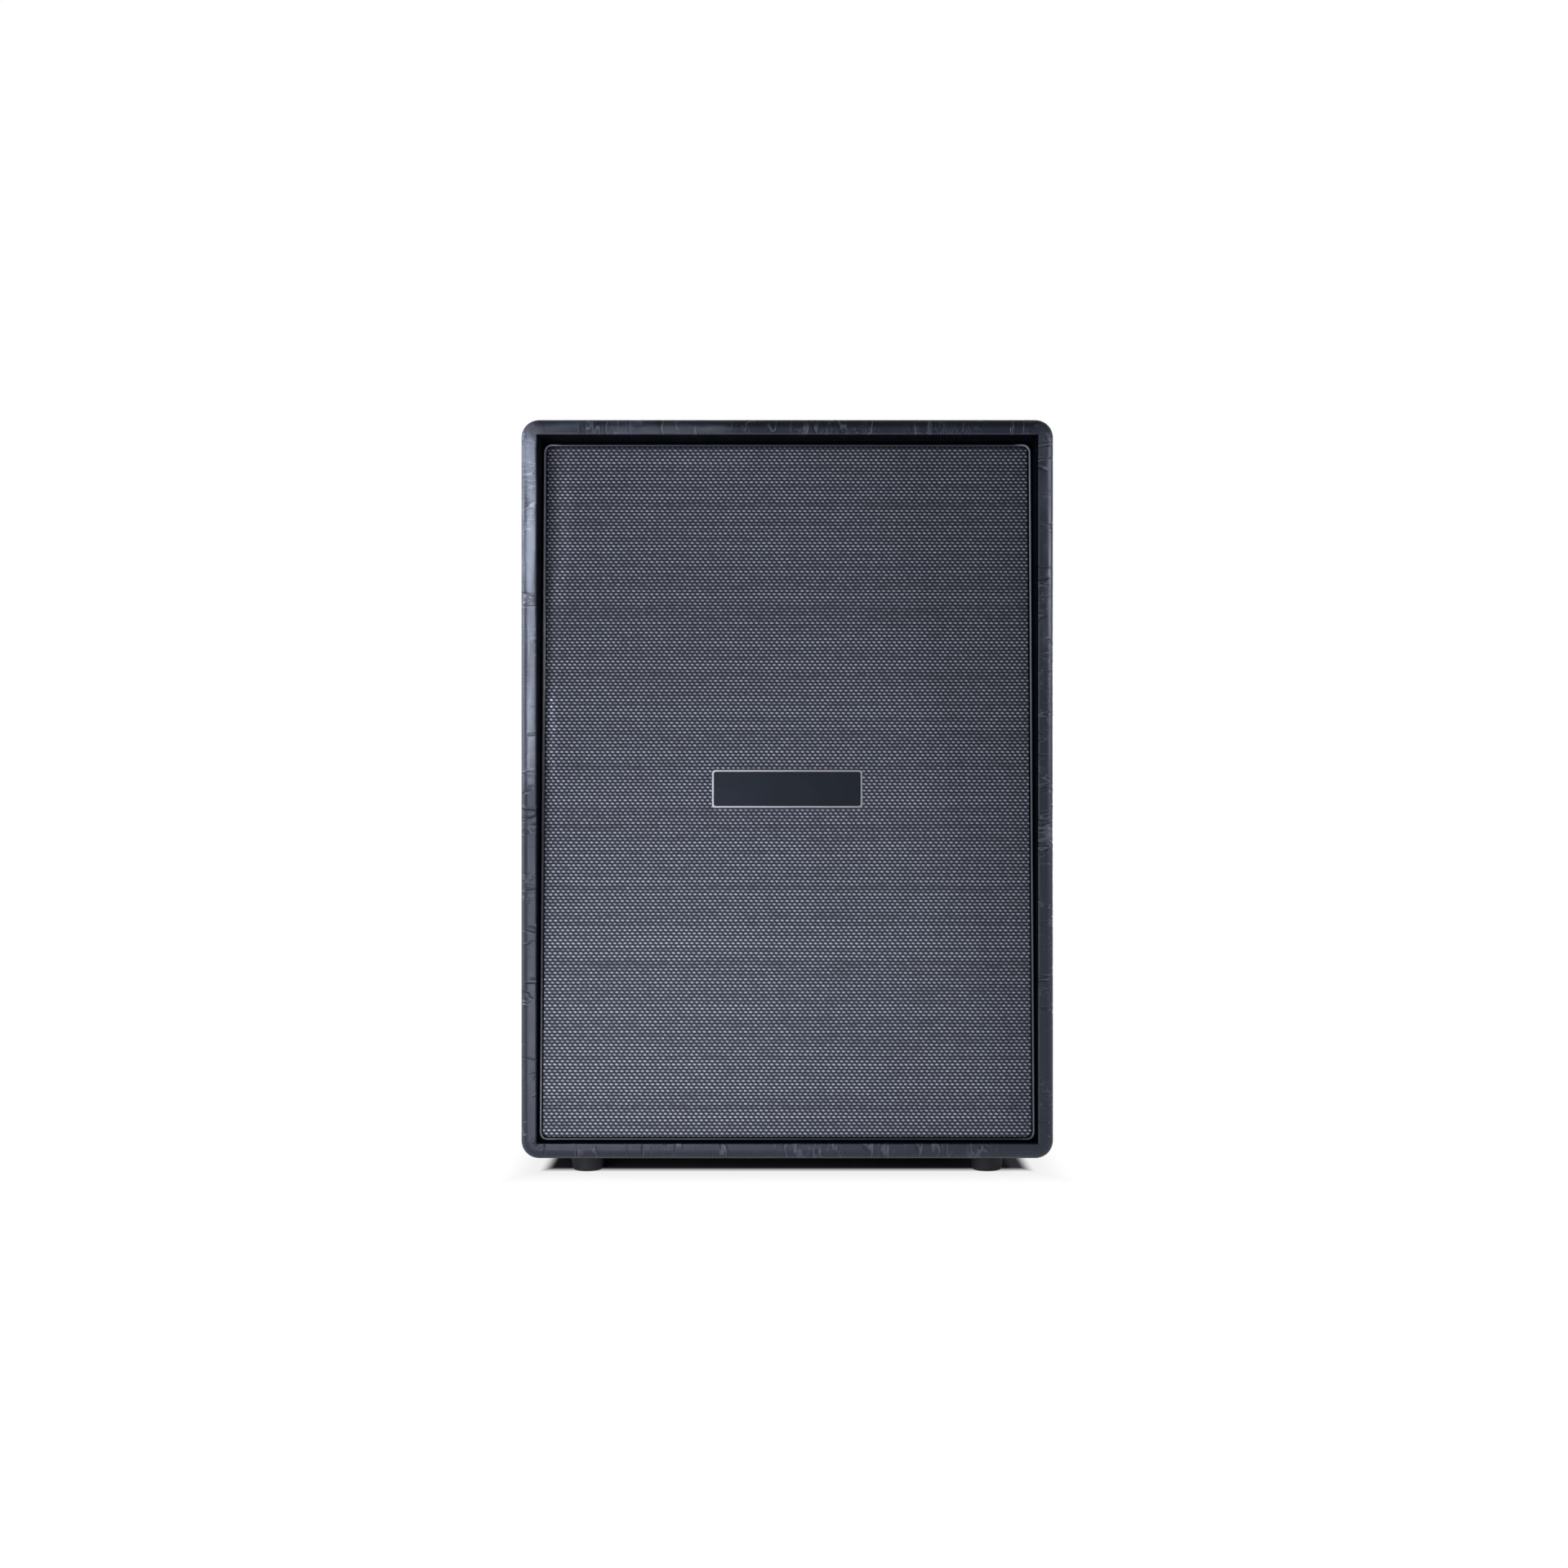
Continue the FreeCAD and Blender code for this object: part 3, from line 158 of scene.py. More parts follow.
# Covering: how its creases are drawn out, and widths and patches of its folds in a noise from 0 to 1
CREASE_RUN = 0.3
CREASE_INWARD = 0.25
CREASE_VALLEY = 0.030
CREASE_RIDGE = 0.535
RIDGE_WIDTH = 0.026
CREASE_PATCHES = (0.40, 0.56)
HAIR_WIDTH = 0.03
HAIR_FINENESS = 3.1
HAIR_PATCHES = (0.48, 0.66)
FLAT_SHARE = 0.15

# Weave: knuckles, seams and pits as shares of a dash and a row, and how bright the ground is
KNUCKLE_LENGTH = 0.39
KNUCKLE_HEIGHT = 0.37
KNUCKLE_EDGE = 1.3
KNUCKLE_SWELL = 2.2
KNUCKLE_SLOPE = 0.2
SEAM = (0.20, 0.48)
PIT = (0.05, 0.40)
GROUND_SHARE = 0.19

# Piping: how bright the painted highlight on its crest is all round, more at the sides, and most of all at
# their tops
HIGHLIGHT_ROUND = 0.04
HIGHLIGHT_SIDES = 0.16
HIGHLIGHT_TOPS = 0.8

# Fineness of each pattern, in waves per metre
FINENESS = {
    # Patches where the creases show, with their painted shade and painted highlight
    "creased_patches": 40,
    "hair_patches": 23,
    "vinyl_tone": 45,
    "thread_drift": 70,
    "thread_fuzz": 900,
    "wood_fibre": 90,
    "wood_pores": 800,
    "plate_cloud": 40,
    "cord_cloud": 70,
    "cord_grain": 900,
    "paper_pulp": 700,
    "resin": 120,
    "loops": 1100,
    "lathe_rings": 1800,
    "plating": 60,
    "ferrite_dust": 500,
    "ferrite_chips": 160,
}

# Fineness of the drawn-out patterns along X, Y and Z, in waves per metre
VINYL_FOLDS = (500, 130, 420)
CLOTH_SWAY = (5, 14, 5)
PLATE_BRUSH = (30, 2500, 2500)
PAPER_FIBRES = (260, 900, 420)

# Moulded, painted and plated surfaces: colour, roughness, metal share, size and depth of the skin
SURFACES = {
    "badge_pins": ((0.03, 0.032, 0.038), 0.4, 0.6, 0.0015, 0.00008),
    "basket_paint": ((0.020, 0.021, 0.023), 0.42, 0.0, 0.0009, 0.00012),
    "gasket_card": ((0.030, 0.027, 0.024), 0.85, 0.0, 0.0006, 0.0002),
    "terminal_board": ((0.20, 0.11, 0.05), 0.5, 0.0, 0.0008, 0.00008),
    "coil_metal": ((0.62, 0.34, 0.18), 0.3, 1.0, 0.0004, 0.00008),
    "jack_plate_paint": ((0.016, 0.016, 0.018), 0.38, 0.0, 0.0006, 0.0001),
    "socket_plastic": ((0.014, 0.014, 0.015), 0.34, 0.0, 0.0010, 0.00003),
    "rocker_plastic": ((0.05, 0.006, 0.006), 0.30, 0.0, 0.0008, 0.00002),
    "nut_chrome": ((0.62, 0.63, 0.65), 0.16, 1.0, 0.0010, 0.00002),
    "handle_plastic": ((0.014, 0.014, 0.015), 0.48, 0.0, 0.0007, 0.00014),
    "grip_plastic": ((0.018, 0.018, 0.019), 0.40, 0.0, 0.0009, 0.00010),
    "fastener_black": ((0.020, 0.020, 0.022), 0.32, 0.5, 0.0006, 0.00003),
    "fastener_zinc": ((0.60, 0.60, 0.58), 0.30, 1.0, 0.0008, 0.00003),
    "foot_rubber": ((0.011, 0.013, 0.019), 0.62, 0.0, 0.0011, 0.0001),
}
MOTTLE = 0.25
MOTTLE_FINENESS = 0.09

# Other finishes
GRAIN_STRETCH = 0.055
COOL_TINT = (0.74, 0.80, 1.0, 1.0)

# Studio: tints, shares of white, and how far back a direction points where the room turns pale
STUDIO_TINT = (0.93, 0.96, 1.0, 1.0)
# Colour of the painted shadow in the floor below the object
FLOOR_PAINTED_SHADOW = (0.12, 0.12, 0.14, 1.0)
FLOOR_PALE = (0.8, 0.8, 0.8, 1.0)
FLOOR_MIRRORED = 0.6
SHADOW_TAIL = 0.15
SHADOW_ENDS = 2.0
ROOM_TURN = (-0.1, 0.7)
MIRROR_TURN = (0.4, 0.9)

# Lamps: where each stands and aims, its width and height, and its spread in degrees
LAMPS = {
    "key": ((-0.55, -1.20, 0.45), (-0.255, -0.15, 0.35), (0.45, 0.5), 180),
    "left": ((-0.569, -1.164, 0.75), (-0.259, -0.15, 0.64), (0.02, 0.5), 1.5),
    "corner": ((-0.757, -1.086, 0.86), (-0.259, -0.15, 0.73), (0.02, 0.3), 1.5),
    "crown": ((-0.50, -1.20, 1.08), (-0.17, -0.15, 0.742), (0.2, 0.015), 1.5),
    "right": ((0.749, -1.05, 0.80), (0.259, -0.15, 0.68), (0.02, 0.4), 1.5),
    "low": ((-0.30, -0.85, 0.08), (-0.12, -0.12, 0.10), (0.5, 0.1), 60),
    "side": ((-1.20, 0.10, 0.625), (-0.262, -0.152, 0.405), (0.03, 0.95), 2),
    "rim": ((1.26, -0.42, 0.68), (0.26, -0.15, 0.62), (0.2, 0.12), 180),
    "back": ((1.30, 2.10, 0.42), (0, 0.1, 0.40), (0.9, 0.6), 180),
}

TRAVEL = next(joint for joint in frame["joints"] if joint["name"] == "upper_cone_travel")
ACROSS = Vector((1, 0, 0))
UP = Vector((0, 0, 1))
OUTWARD = Vector(TRAVEL["axis"]).normalized()
UPSLOPE = OUTWARD.cross(ACROSS)


def reach(node, direction):
    """Lowest and highest place of a CAD node along a direction."""
    places = [vertex.co.dot(direction) for vertex in frame["nodes"][node].data.vertices]
    return min(places), max(places)


def axes(x, y, z, origin):
    """A placement from three directions and an origin."""
    return Matrix.Translation(origin) @ Matrix((x, y, z)).transposed().to_4x4()


def slope_place(node):
    """The middle of a node's front, on the slope: X across, Y up the slope, Z outward."""
    up = sum(reach(node, UPSLOPE)) / 2
    front = reach(node, OUTWARD)[1]
    return axes(ACROSS, UPSLOPE, OUTWARD, UPSLOPE * up + OUTWARD * front)


def tint(name, description, default):
    """A setting for a colour."""
    return FloatVectorProperty(
        name=name, description=description, subtype="COLOR", size=4, min=0, max=1, default=default)


def metres(name, description, default):
    """A setting for a length."""
    return FloatProperty(name=name, description=description, default=default, unit="LENGTH")


def watts(name, description, default):
    """A setting for the power of a lamp."""
    return FloatProperty(name=name, description=description, default=default, unit="POWER")


class VinylLook(bpy.types.PropertyGroup):
    """Settings of the covering."""

    colour: tint("Colour", "Colour of the covering", (0.009, 0.012, 0.021, 1))
    sheen: tint("Sheen", "Tint of the reflections", COOL_TINT)
    # Colour of the painted highlight on the crease ridges and fine wrinkles
    crease_highlight: tint("Wear", "Colour of rubbed creases", (0.16, 0.18, 0.23, 1))
    roughness: FloatProperty(
        name="Roughness", description="Gloss of the covering", default=0.46, min=0, max=1)
    crease: metres("Crease spacing", "Distance between the creases", 0.017)
    crease_depth: metres("Crease depth", "Depth of the creases", 0.0010)
    grain: metres("Grain size", "Size of the fine grain", 0.0016)


class WeaveLook(bpy.types.PropertyGroup):
    """Settings of the grille cloth."""

    light: tint("Light yarn", "Colour of the light yarn", (0.64, 0.69, 0.87, 1))
    ground: tint("Dark ground", "Colour between the light yarns", (0.012, 0.013, 0.026, 1))
    row: metres("Row", "Height of one row", 0.00323)
    dash: metres("Dash", "Distance between dashes", 0.00511)
    sway: metres("Sway", "How far the rows wander", 0.0012)


class StageLook(bpy.types.PropertyGroup):
    """Settings of the lights and the camera."""

    key: watts("Key light", "Power of the large left light", 4.9)
    left: watts("Left edge", "Power of the beam on the left edge", 0.045)
    corner: watts("Left corner", "Power of the beam on the top left corner", 0.026)
    crown: watts("Top edge", "Power of the beam on the top edge", 0.008)
    right: watts("Right edge", "Power of the beam on the right edge", 0.005)
    low: watts("Low light", "Power of the low beam", 0.21)
    side: watts("Side light", "Power of the left side light", 0.05)
    rim: watts("Rim light", "Power of the right light", 4.7)
    back: watts("Back light", "Power of the rear light", 22)
    front: FloatProperty(
        name="Room in front", description="Strength of the room in front", default=0.1, min=0)
    behind: FloatProperty(
        name="Room behind", description="Strength of the room behind", default=0.35, min=0)
    distance: metres("Camera distance", "From the camera to the middle", 2.456)
    height: metres("Camera height", "Above the floor", 0.3865)
    shift: metres("Camera offset", "Sideways from the middle", -0.0032)
    lens: FloatProperty(name="Lens", description="Focal length", default=53.66, min=1, unit="CAMERA")


def plug(socket, value):
    """Links a wire to a socket, or sets the socket's own value."""
    if isinstance(value, Wire):
        socket.id_data.links.new(value.socket, socket)
    else:
        socket.default_value = value


class Wire:
    """A shader socket in Python arithmetic: each operator adds one Math node."""

    def __init__(self, socket):
        self.socket = socket

    def math(self, operation, *others):
        """Adds a Math node with this wire as its first input."""
        made = self.socket.id_data.nodes.new("ShaderNodeMath")
        made.operation = operation
        for index, value in enumerate((self, *others)):
            plug(made.inputs[index], value)
        return Wire(made.outputs[0])

    def __add__(self, other):
        return self.math("ADD", other)

    def __sub__(self, other):
        return self.math("SUBTRACT", other)

    def __rsub__(self, other):
        return self.math("MULTIPLY_ADD", -1.0, other)

    def __mul__(self, other):
        return self.math("MULTIPLY", other)

    def __truediv__(self, other):
        return self.math("DIVIDE", other)

    def __pow__(self, other):
        return self.math("POWER", other)

    def __abs__(self):
        return self.math("ABSOLUTE")

    def __lt__(self, other):
        return self.math("LESS_THAN", other)

    __radd__ = __add__
    __rmul__ = __mul__

    def floor(self):
        return self.math("FLOOR")

    def fract(self):
        return self.math("FRACT")


class Graph:
    """A node tree and the one way to add any other node to it."""

    def __init__(self, tree):
        self.tree = tree

    def node(self, kind, settings=None, inputs=None, output=0):
        """Adds a node: its settings first, then the values or links of its sockets."""
        made = self.tree.nodes.new(kind)
        for name, value in (settings or {}).items():
            setattr(made, name, value)
        for key, value in (inputs or {}).items():
            plug(made.inputs[key], value)
        return Wire(made.outputs[output]) if made.outputs else made

    def spot(self):
        """Where a point lies on its object, in metres."""
        return self.node("ShaderNodeTexCoord", output="Object")

    def parts(self, vector):
        """The three numbers of a vector."""
        first = self.node("ShaderNodeSeparateXYZ", inputs={0: vector})
        return [Wire(socket) for socket in first.socket.node.outputs]

    def joined(self, x=0.0, y=0.0, z=0.0):
        """A vector from three numbers."""
        return self.node("ShaderNodeCombineXYZ", inputs={0: x, 1: y, 2: z})

    def vector(self, operation, first, second=(0, 0, 0), scale=1.0):
        """Adds a Vector Math node."""
        output = "Value" if operation in ("DOT_PRODUCT", "LENGTH") else "Vector"
        inputs = {0: first, 1: second, 3: scale}
        return self.node("ShaderNodeVectorMath", {"operation": operation}, inputs, output)

    def stretched(self, x, y, z):
        """The point with each axis scaled by itself."""
        return self.vector("MULTIPLY", self.spot(), (x, y, z))

    def along(self, direction, origin):
        """How far a point lies along a direction from an origin."""
        return self.vector("DOT_PRODUCT", self.vector("SUBTRACT", self.spot(), origin), direction)

    def from_axis(self, direction, origin):
        """How far a point lies from an axis."""
        arm = self.vector("SUBTRACT", self.spot(), origin)
        return self.vector("LENGTH", self.vector("CROSS_PRODUCT", arm, direction))

    def noise(self, vector, scale, detail=2.0, roughness=0.5):
        """Cloudy noise from 0 to 1, about 0.5."""
        inputs = {"Vector": vector, "Scale": scale, "Detail": detail, "Roughness": roughness}
        return self.node("ShaderNodeTexNoise", inputs=inputs, output="Fac")

    def cells(self, vector, scale, feature="F1"):
        """How far a point lies from the middle or the edge of its cell."""
        inputs = {"Vector": vector, "Scale": scale}
        return self.node("ShaderNodeTexVoronoi", {"feature": feature}, inputs, "Distance")

    def chance(self, x=0.0, y=0.0, z=0.0):
        """A number from 0 to 1 for each whole-numbered place."""
        return self.node("ShaderNodeTexWhiteNoise", inputs={"Vector": self.joined(x, y, z)}, output="Value")

    def fade(self, value, start, end):
        """From 0 at the start to 1 at the end, smoothly."""
        inputs = {"Value": value, "From Min": start, "From Max": end}
        return self.node("ShaderNodeMapRange", {"interpolation_type": "SMOOTHSTEP"}, inputs, "Result")

    def mix(self, share, first, second):
        """A colour between two colours."""
        return self.node("ShaderNodeMix", {"data_type": "RGBA"}, {0: share, 6: first, 7: second}, 2)

    def relief(self, height, depth):
        """A normal from a height between 0 and 1, and the depth that 1 stands for."""
        return self.node("ShaderNodeBump", inputs={"Height": height, "Distance": depth}, output="Normal")


class Finish(Graph):
    """A material under construction round its Principled shader."""

    def __init__(self, name, constants=None):
        self.material = bpy.data.materials.new(name)
        self.material.use_nodes = True
        super().__init__(self.material.node_tree)
        self.shader = self.tree.nodes["Principled BSDF"]
        self.set(constants or {})

    def set(self, values):
        """Sets or links sockets of the Principled shader."""
        for name, value in values.items():
            plug(self.shader.inputs[name], value)

    def blend(self, share, other):
        """Lets another shader take a share of the surface."""
        own = Wire(self.shader.outputs["BSDF"])
        both = self.node("ShaderNodeMixShader", inputs={0: share, 1: own, 2: other})
        plug(self.tree.nodes["Material Output"].inputs["Surface"], both)


def rgb(red, green, blue):
    """An opaque colour."""
    return (red, green, blue, 1.0)


def shade(colour, factor):
    """A colour made lighter or darker."""
    return (*[channel * factor for channel in colour[:3]], 1.0)


# Materials

def vinyl(name, look):
    """Satin covering: sparse creases across the box's edges, and faint wrinkles between them. Painted shade
    darkens the crease grooves and the recess walls, and a painted highlight lightens the crease ridges and
    wrinkles.
    """
    finish = Finish(name, {"Specular IOR Level": 0.85, "Specular Tint": look.sheen})
    spot = finish.spot()
    x, y, z = finish.parts(spot)
    low, high = (Vector(corner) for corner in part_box("grille_piping"))
    middle, half = (low + high) / 2, (high - low) / 2
    beside, beyond = abs(x - middle.x) - half.x, abs(z - middle.z) - half.z
    recess = finish.fade(beside.math("MAXIMUM", beyond), *RECESS_SHADE_EDGE) * (y < 0.0)
    upright = finish.fade(beside - beyond * (y < 0.0), *CORNER_TURN)
    turn = upright * (1 - CREASE_RUN)
    stretch = finish.joined(1.0 - turn, CREASE_INWARD, CREASE_RUN + turn)
    drawn = finish.vector("MULTIPLY", spot, stretch)
    swell = finish.noise(drawn, 1 / look.crease, 2)
    lip = finish.fade(y, *LIP_DEPTH) * (1 - FLAT_SHARE) + FLAT_SHARE
    # Patches where the creases show, with their relief, painted shade and painted highlight
    crease_patch = finish.fade(finish.noise(spot, FINENESS["creased_patches"], 1), *CREASE_PATCHES) * lip
    valley = finish.fade(abs(swell - 0.5), CREASE_VALLEY, 0.0) * crease_patch
    ridge = finish.fade(abs(swell - CREASE_RIDGE), RIDGE_WIDTH, 0.0) * crease_patch
    fine = finish.noise(drawn, HAIR_FINENESS / look.crease, 1)
    hairs = finish.fade(abs(fine - 0.5), HAIR_WIDTH, 0.0)
    hairs = hairs * finish.fade(finish.noise(spot, FINENESS["hair_patches"], 2), *HAIR_PATCHES) * lip
    folds = finish.noise(finish.stretched(*VINYL_FOLDS), 1, 3)
    grain = finish.noise(spot, 1 / look.grain, 3, 0.6)
    height = 0.5 - valley * 0.5 + ridge * 0.35 + hairs * 0.25 + folds * 0.08 + grain * 0.03
    tone = finish.noise(spot, FINENESS["vinyl_tone"], 3)
    colour = finish.mix(tone, shade(look.colour, 0.8), shade(look.colour, 1.2))
    # Painted shade darkens the crease grooves, and a painted highlight lightens their ridges and the fine
    # wrinkles
    colour = finish.mix(valley * 0.8, colour, shade(look.colour, 0.2))
    colour = finish.mix(ridge * 0.5 + hairs * 0.3, colour, look.crease_highlight)
    finish.set({
        "Base Color": colour,
        "Roughness": look.roughness + (tone - 0.5) * 0.16 + (folds - 0.5) * 0.1,
        "Normal": finish.relief(height, look.crease_depth),
    })
    # Painted shade: the recess walls turn matt and darker than the covering, partly a matt lining and
    # partly the shade inside the recess
    matt_lining_and_shade = finish.node("ShaderNodeBsdfDiffuse", inputs={"Color": shade(look.colour, 0.4)})
    finish.blend(recess * 0.9, matt_lining_and_shade)
    return finish.material


def weave(look):
    """Salt and pepper cloth: staggered rows of light knuckles on a dark ground."""
    finish = Finish("grille_weave", {"Specular IOR Level": 0.25, "Roughness": 0.7})
    spot = finish.spot()
    x, y, z = finish.parts(spot)
    sway = finish.noise(finish.stretched(*CLOTH_SWAY), 1, 2) - 0.5
    rows = (y + sway * look.sway) / look.row
    row = rows.floor()
    plump = (row * 0.5).fract() * 2.0
    lift = rows.fract() - 0.5
    drift = (finish.noise(spot, FINENESS["thread_drift"], 1) - 0.5) * 0.3
    dashes = x / look.dash + row * 0.5 + finish.chance(row, 3.0) * 0.1 + drift
    cell = dashes.floor()
    side = dashes.fract() - 0.5
    slope = KNUCKLE_SLOPE + (finish.chance(cell, row, 7.0) - 0.5) * KNUCKLE_SLOPE
    oval = (side / KNUCKLE_LENGTH) ** 2.0 + ((lift + side * slope) / KNUCKLE_HEIGHT) ** 2.0
    knuckle = finish.fade(oval, KNUCKLE_EDGE, 0.0) ** KNUCKLE_SWELL
    luck = finish.chance(cell, row, 1.0) * 0.5 + finish.chance(row, 5.0) * 0.5
    streak = finish.noise(finish.joined(x * 14, row * 3.7), 1, 2)
    bright = knuckle * (0.40 + luck * 0.95) * (0.85 + plump * 0.15) * (0.55 + streak * 0.9)
    seam = finish.fade(abs(lift), *SEAM)
    pit = seam * finish.fade(abs(side), *PIT)
    mottle = finish.noise(spot, FINENESS["thread_fuzz"], 2)
    body = GROUND_SHARE * mottle * (1.0 - seam * 0.2) * (1.0 - pit * 0.9)
    share = (body + bright).math("MINIMUM", 1.0)
    finish.set({
        "Base Color": finish.mix(share, look.ground, look.light),
        "Normal": finish.relief(knuckle - pit * 0.5, RELIEF["weave"]),
    })
    return finish.material


def speckled(name):
    """A moulded, painted or plated surface: mottled tone, uneven gloss and a fine skin."""
    colour, roughness, metallic, size, depth = SURFACES[name]
    finish = Finish(name, {"Metallic": metallic})
    spot = finish.spot()
    skin = finish.noise(spot, 1 / size, 3, 0.6)
    cloud = finish.noise(spot, MOTTLE_FINENESS / size, 3)
    tone = finish.mix(cloud, shade(colour, 1 - MOTTLE), shade(colour, 1 + MOTTLE))
    finish.set({
        "Base Color": tone,
        "Roughness": roughness + (cloud - 0.5) * MOTTLE * 0.8 + (skin - 0.5) * 0.15,
        "Normal": finish.relief(skin, depth),
    })
    return finish.material


def timber(name, light, dark, grain, across=None, painted=None):
    """Sawn wood: its grain along one direction, layers across another in ply, and perhaps a black face."""
    finish = Finish(name, {"Specular IOR Level": 0.3})
    run = finish.along(grain, Vector())
    aside = finish.vector("SUBTRACT", finish.spot(), finish.vector("SCALE", tuple(grain), scale=run))
    drawn = finish.vector("ADD", aside, finish.vector("SCALE", tuple(grain), scale=run * GRAIN_STRETCH))
    fibre = finish.noise(drawn, FINENESS["wood_fibre"], 5, 0.6)
    pores = finish.noise(drawn, FINENESS["wood_pores"], 2)
    tone = finish.mix(fibre, dark, light)
    tone = finish.mix(finish.fade(pores, 0.62, 0.74) * 0.5, tone, shade(dark, 0.5))
    if across:
        layer = (finish.along(across, Vector()) / PLY).floor()
        tone = finish.mix(finish.chance(layer) * 0.35, tone, shade(dark, 0.6))
    if painted is not None:
        face = finish.fade(finish.along(across, Vector()), painted - PLY, painted - PLY / 2)
        tone = finish.mix(face, tone, shade(dark, 0.03))
    finish.set({
        "Base Color": tone,
        "Roughness": 0.62 + (pores - 0.5) * 0.3,
        "Normal": finish.relief(fibre + pores * 0.4, RELIEF["timber"]),
    })
    return finish.material


def plate_finish():
    """A dark satin field inside a bright raised border."""
    finish = Finish("badge_metal", {"Specular IOR Level": 0.4, "Specular Tint": COOL_TINT})
    low, high = reach("badge_plate", ACROSS)
    bottom, top = reach("badge_plate", UPSLOPE)
    centre = ACROSS * ((low + high) / 2) + UPSLOPE * ((bottom + top) / 2)
    centre = centre + OUTWARD * slope_place("grille_cloth").translation.dot(OUTWARD)
    across = abs(finish.along(ACROSS, centre)) - ((high - low) / 2 - BADGE_BORDER - BADGE_BEND)
    upward = abs(finish.along(UPSLOPE, centre)) - ((top - bottom) / 2 - BADGE_BORDER - BADGE_BEND)
    corner = finish.joined(across.math("MAXIMUM", 0.0), upward.math("MAXIMUM", 0.0))
    border = finish.fade(finish.vector("LENGTH", corner), *(BADGE_BEND + step for step in BADGE_STEP))
    brush = finish.noise(finish.stretched(*PLATE_BRUSH), 1, 2)
    cloud = finish.noise(finish.spot(), FINENESS["plate_cloud"], 3)
    field = finish.mix(cloud, rgb(0.010, 0.014, 0.024), rgb(0.020, 0.026, 0.040))
    bright = finish.mix(brush, rgb(0.72, 0.74, 0.78), rgb(0.88, 0.90, 0.94))
    finish.set({
        "Base Color": finish.mix(border, field, bright),
        "Metallic": border * 0.9 + 0.1,
        "Roughness": 0.36 + (brush - 0.5) * 0.12 + border * -0.06,
        "Normal": finish.relief(brush, RELIEF["plate"]),
    })
    return finish.material


def cord_finish():
    """Glossy black cord, with a painted highlight along its crest."""
    tints = {"Specular Tint": COOL_TINT, "Coat Tint": COOL_TINT}
    finish = Finish("piping", {"Specular IOR Level": 0.6, "Coat Roughness": 0.12, **tints})
    spot = finish.spot()
    cloud = finish.noise(spot, FINENESS["cord_cloud"], 3)
    fine = finish.noise(spot, FINENESS["cord_grain"], 2)
    across, up, out = finish.parts(spot)
    front = reach("grille_piping", OUTWARD)[1] - reach("grille_cloth", OUTWARD)[1]
    rise = finish.fade(up, *PIPING_RISE)
    # Painted highlight along the crest, brighter at the sides and brightest at their tops
    crest_highlight = finish.fade(abs(across), *PIPING_SIDES) * (HIGHLIGHT_SIDES + rise * HIGHLIGHT_TOPS) + HIGHLIGHT_ROUND
    crest = finish.fade(out, front - PIPING_CREST, front) * crest_highlight
    dull = finish.mix(cloud, rgb(0.003, 0.004, 0.007), rgb(0.007, 0.009, 0.014))
    finish.set({
        "Base Color": finish.mix(crest * (0.8 + cloud * 0.4), dull, rgb(0.62, 0.67, 0.80)),
        "Roughness": 0.24 + cloud * 0.14,
        "Coat Weight": 0.25 + cloud * 0.2,
        "Normal": finish.relief(fine, RELIEF["cord"]),
    })
    return finish.material


def paper(name, colour, driver=None):
    """Pressed pulp with loose fibres, and ribs round the axis of a driver's cone."""
    finish = Finish(name, {"Specular IOR Level": 0.25})
    spot = finish.spot()
    pulp = finish.noise(spot, FINENESS["paper_pulp"], 4, 0.65)
    fibre = finish.fade(finish.cells(finish.stretched(*PAPER_FIBRES), 1, "DISTANCE_TO_EDGE"), 0.08, 0.0)
    height = pulp * 0.35 + fibre * 0.15
    if driver:
        out = finish.from_axis(OUTWARD, slope_place(f"{driver}_basket").translation)
        rib = finish.fade(abs((out / CONE_RIB).fract() - 0.5), 0.16, 0.02)
        height = height + rib * finish.fade(out, *RIBS_FROM)
    tone = finish.mix(pulp, shade(colour, 0.7), shade(colour, 1.3))
    finish.set({
        "Base Color": finish.mix(fibre * 0.35, tone, shade(colour, 2.2)),
        "Roughness": 0.78 + (pulp - 0.5) * 0.2,
        "Normal": finish.relief(height, RELIEF["paper"]),
    })
    return finish.material


def stiffened_cloth(name, colour, thread):
    """Open plain weave, stiff with resin."""
    finish = Finish(name, {"Specular IOR Level": 0.35})
    x, y, z = finish.parts(finish.spot())
    warp = abs((x / thread).fract() - 0.5)
    weft = abs((z / thread).fract() - 0.5)
    gap = finish.fade(warp.math("MINIMUM", weft), 0.12, 0.02)
    cloud = finish.noise(finish.spot(), FINENESS["resin"], 3)
    tone = finish.mix(cloud, shade(colour, 0.7), shade(colour, 1.2))
    finish.set({
        "Base Color": finish.mix(gap, tone, shade(colour, 0.25)),
        "Roughness": 0.55 + gap * 0.3,
        "Normal": finish.relief(1.0 - gap, RELIEF["stiffened_cloth"]),
    })
    return finish.material


def hook_and_loop():
    """Black loops of a fabric fastener."""
    finish = Finish("hook_and_loop", {"Specular IOR Level": 0.3, "Roughness": 0.8})
    loops = finish.cells(finish.spot(), FINENESS["loops"])
    finish.set({
        "Base Color": finish.mix(loops, rgb(0.05, 0.05, 0.055), rgb(0.008, 0.008, 0.009)),
        "Normal": finish.relief(1.0 - loops, RELIEF["loops"]),
    })
    return finish.material


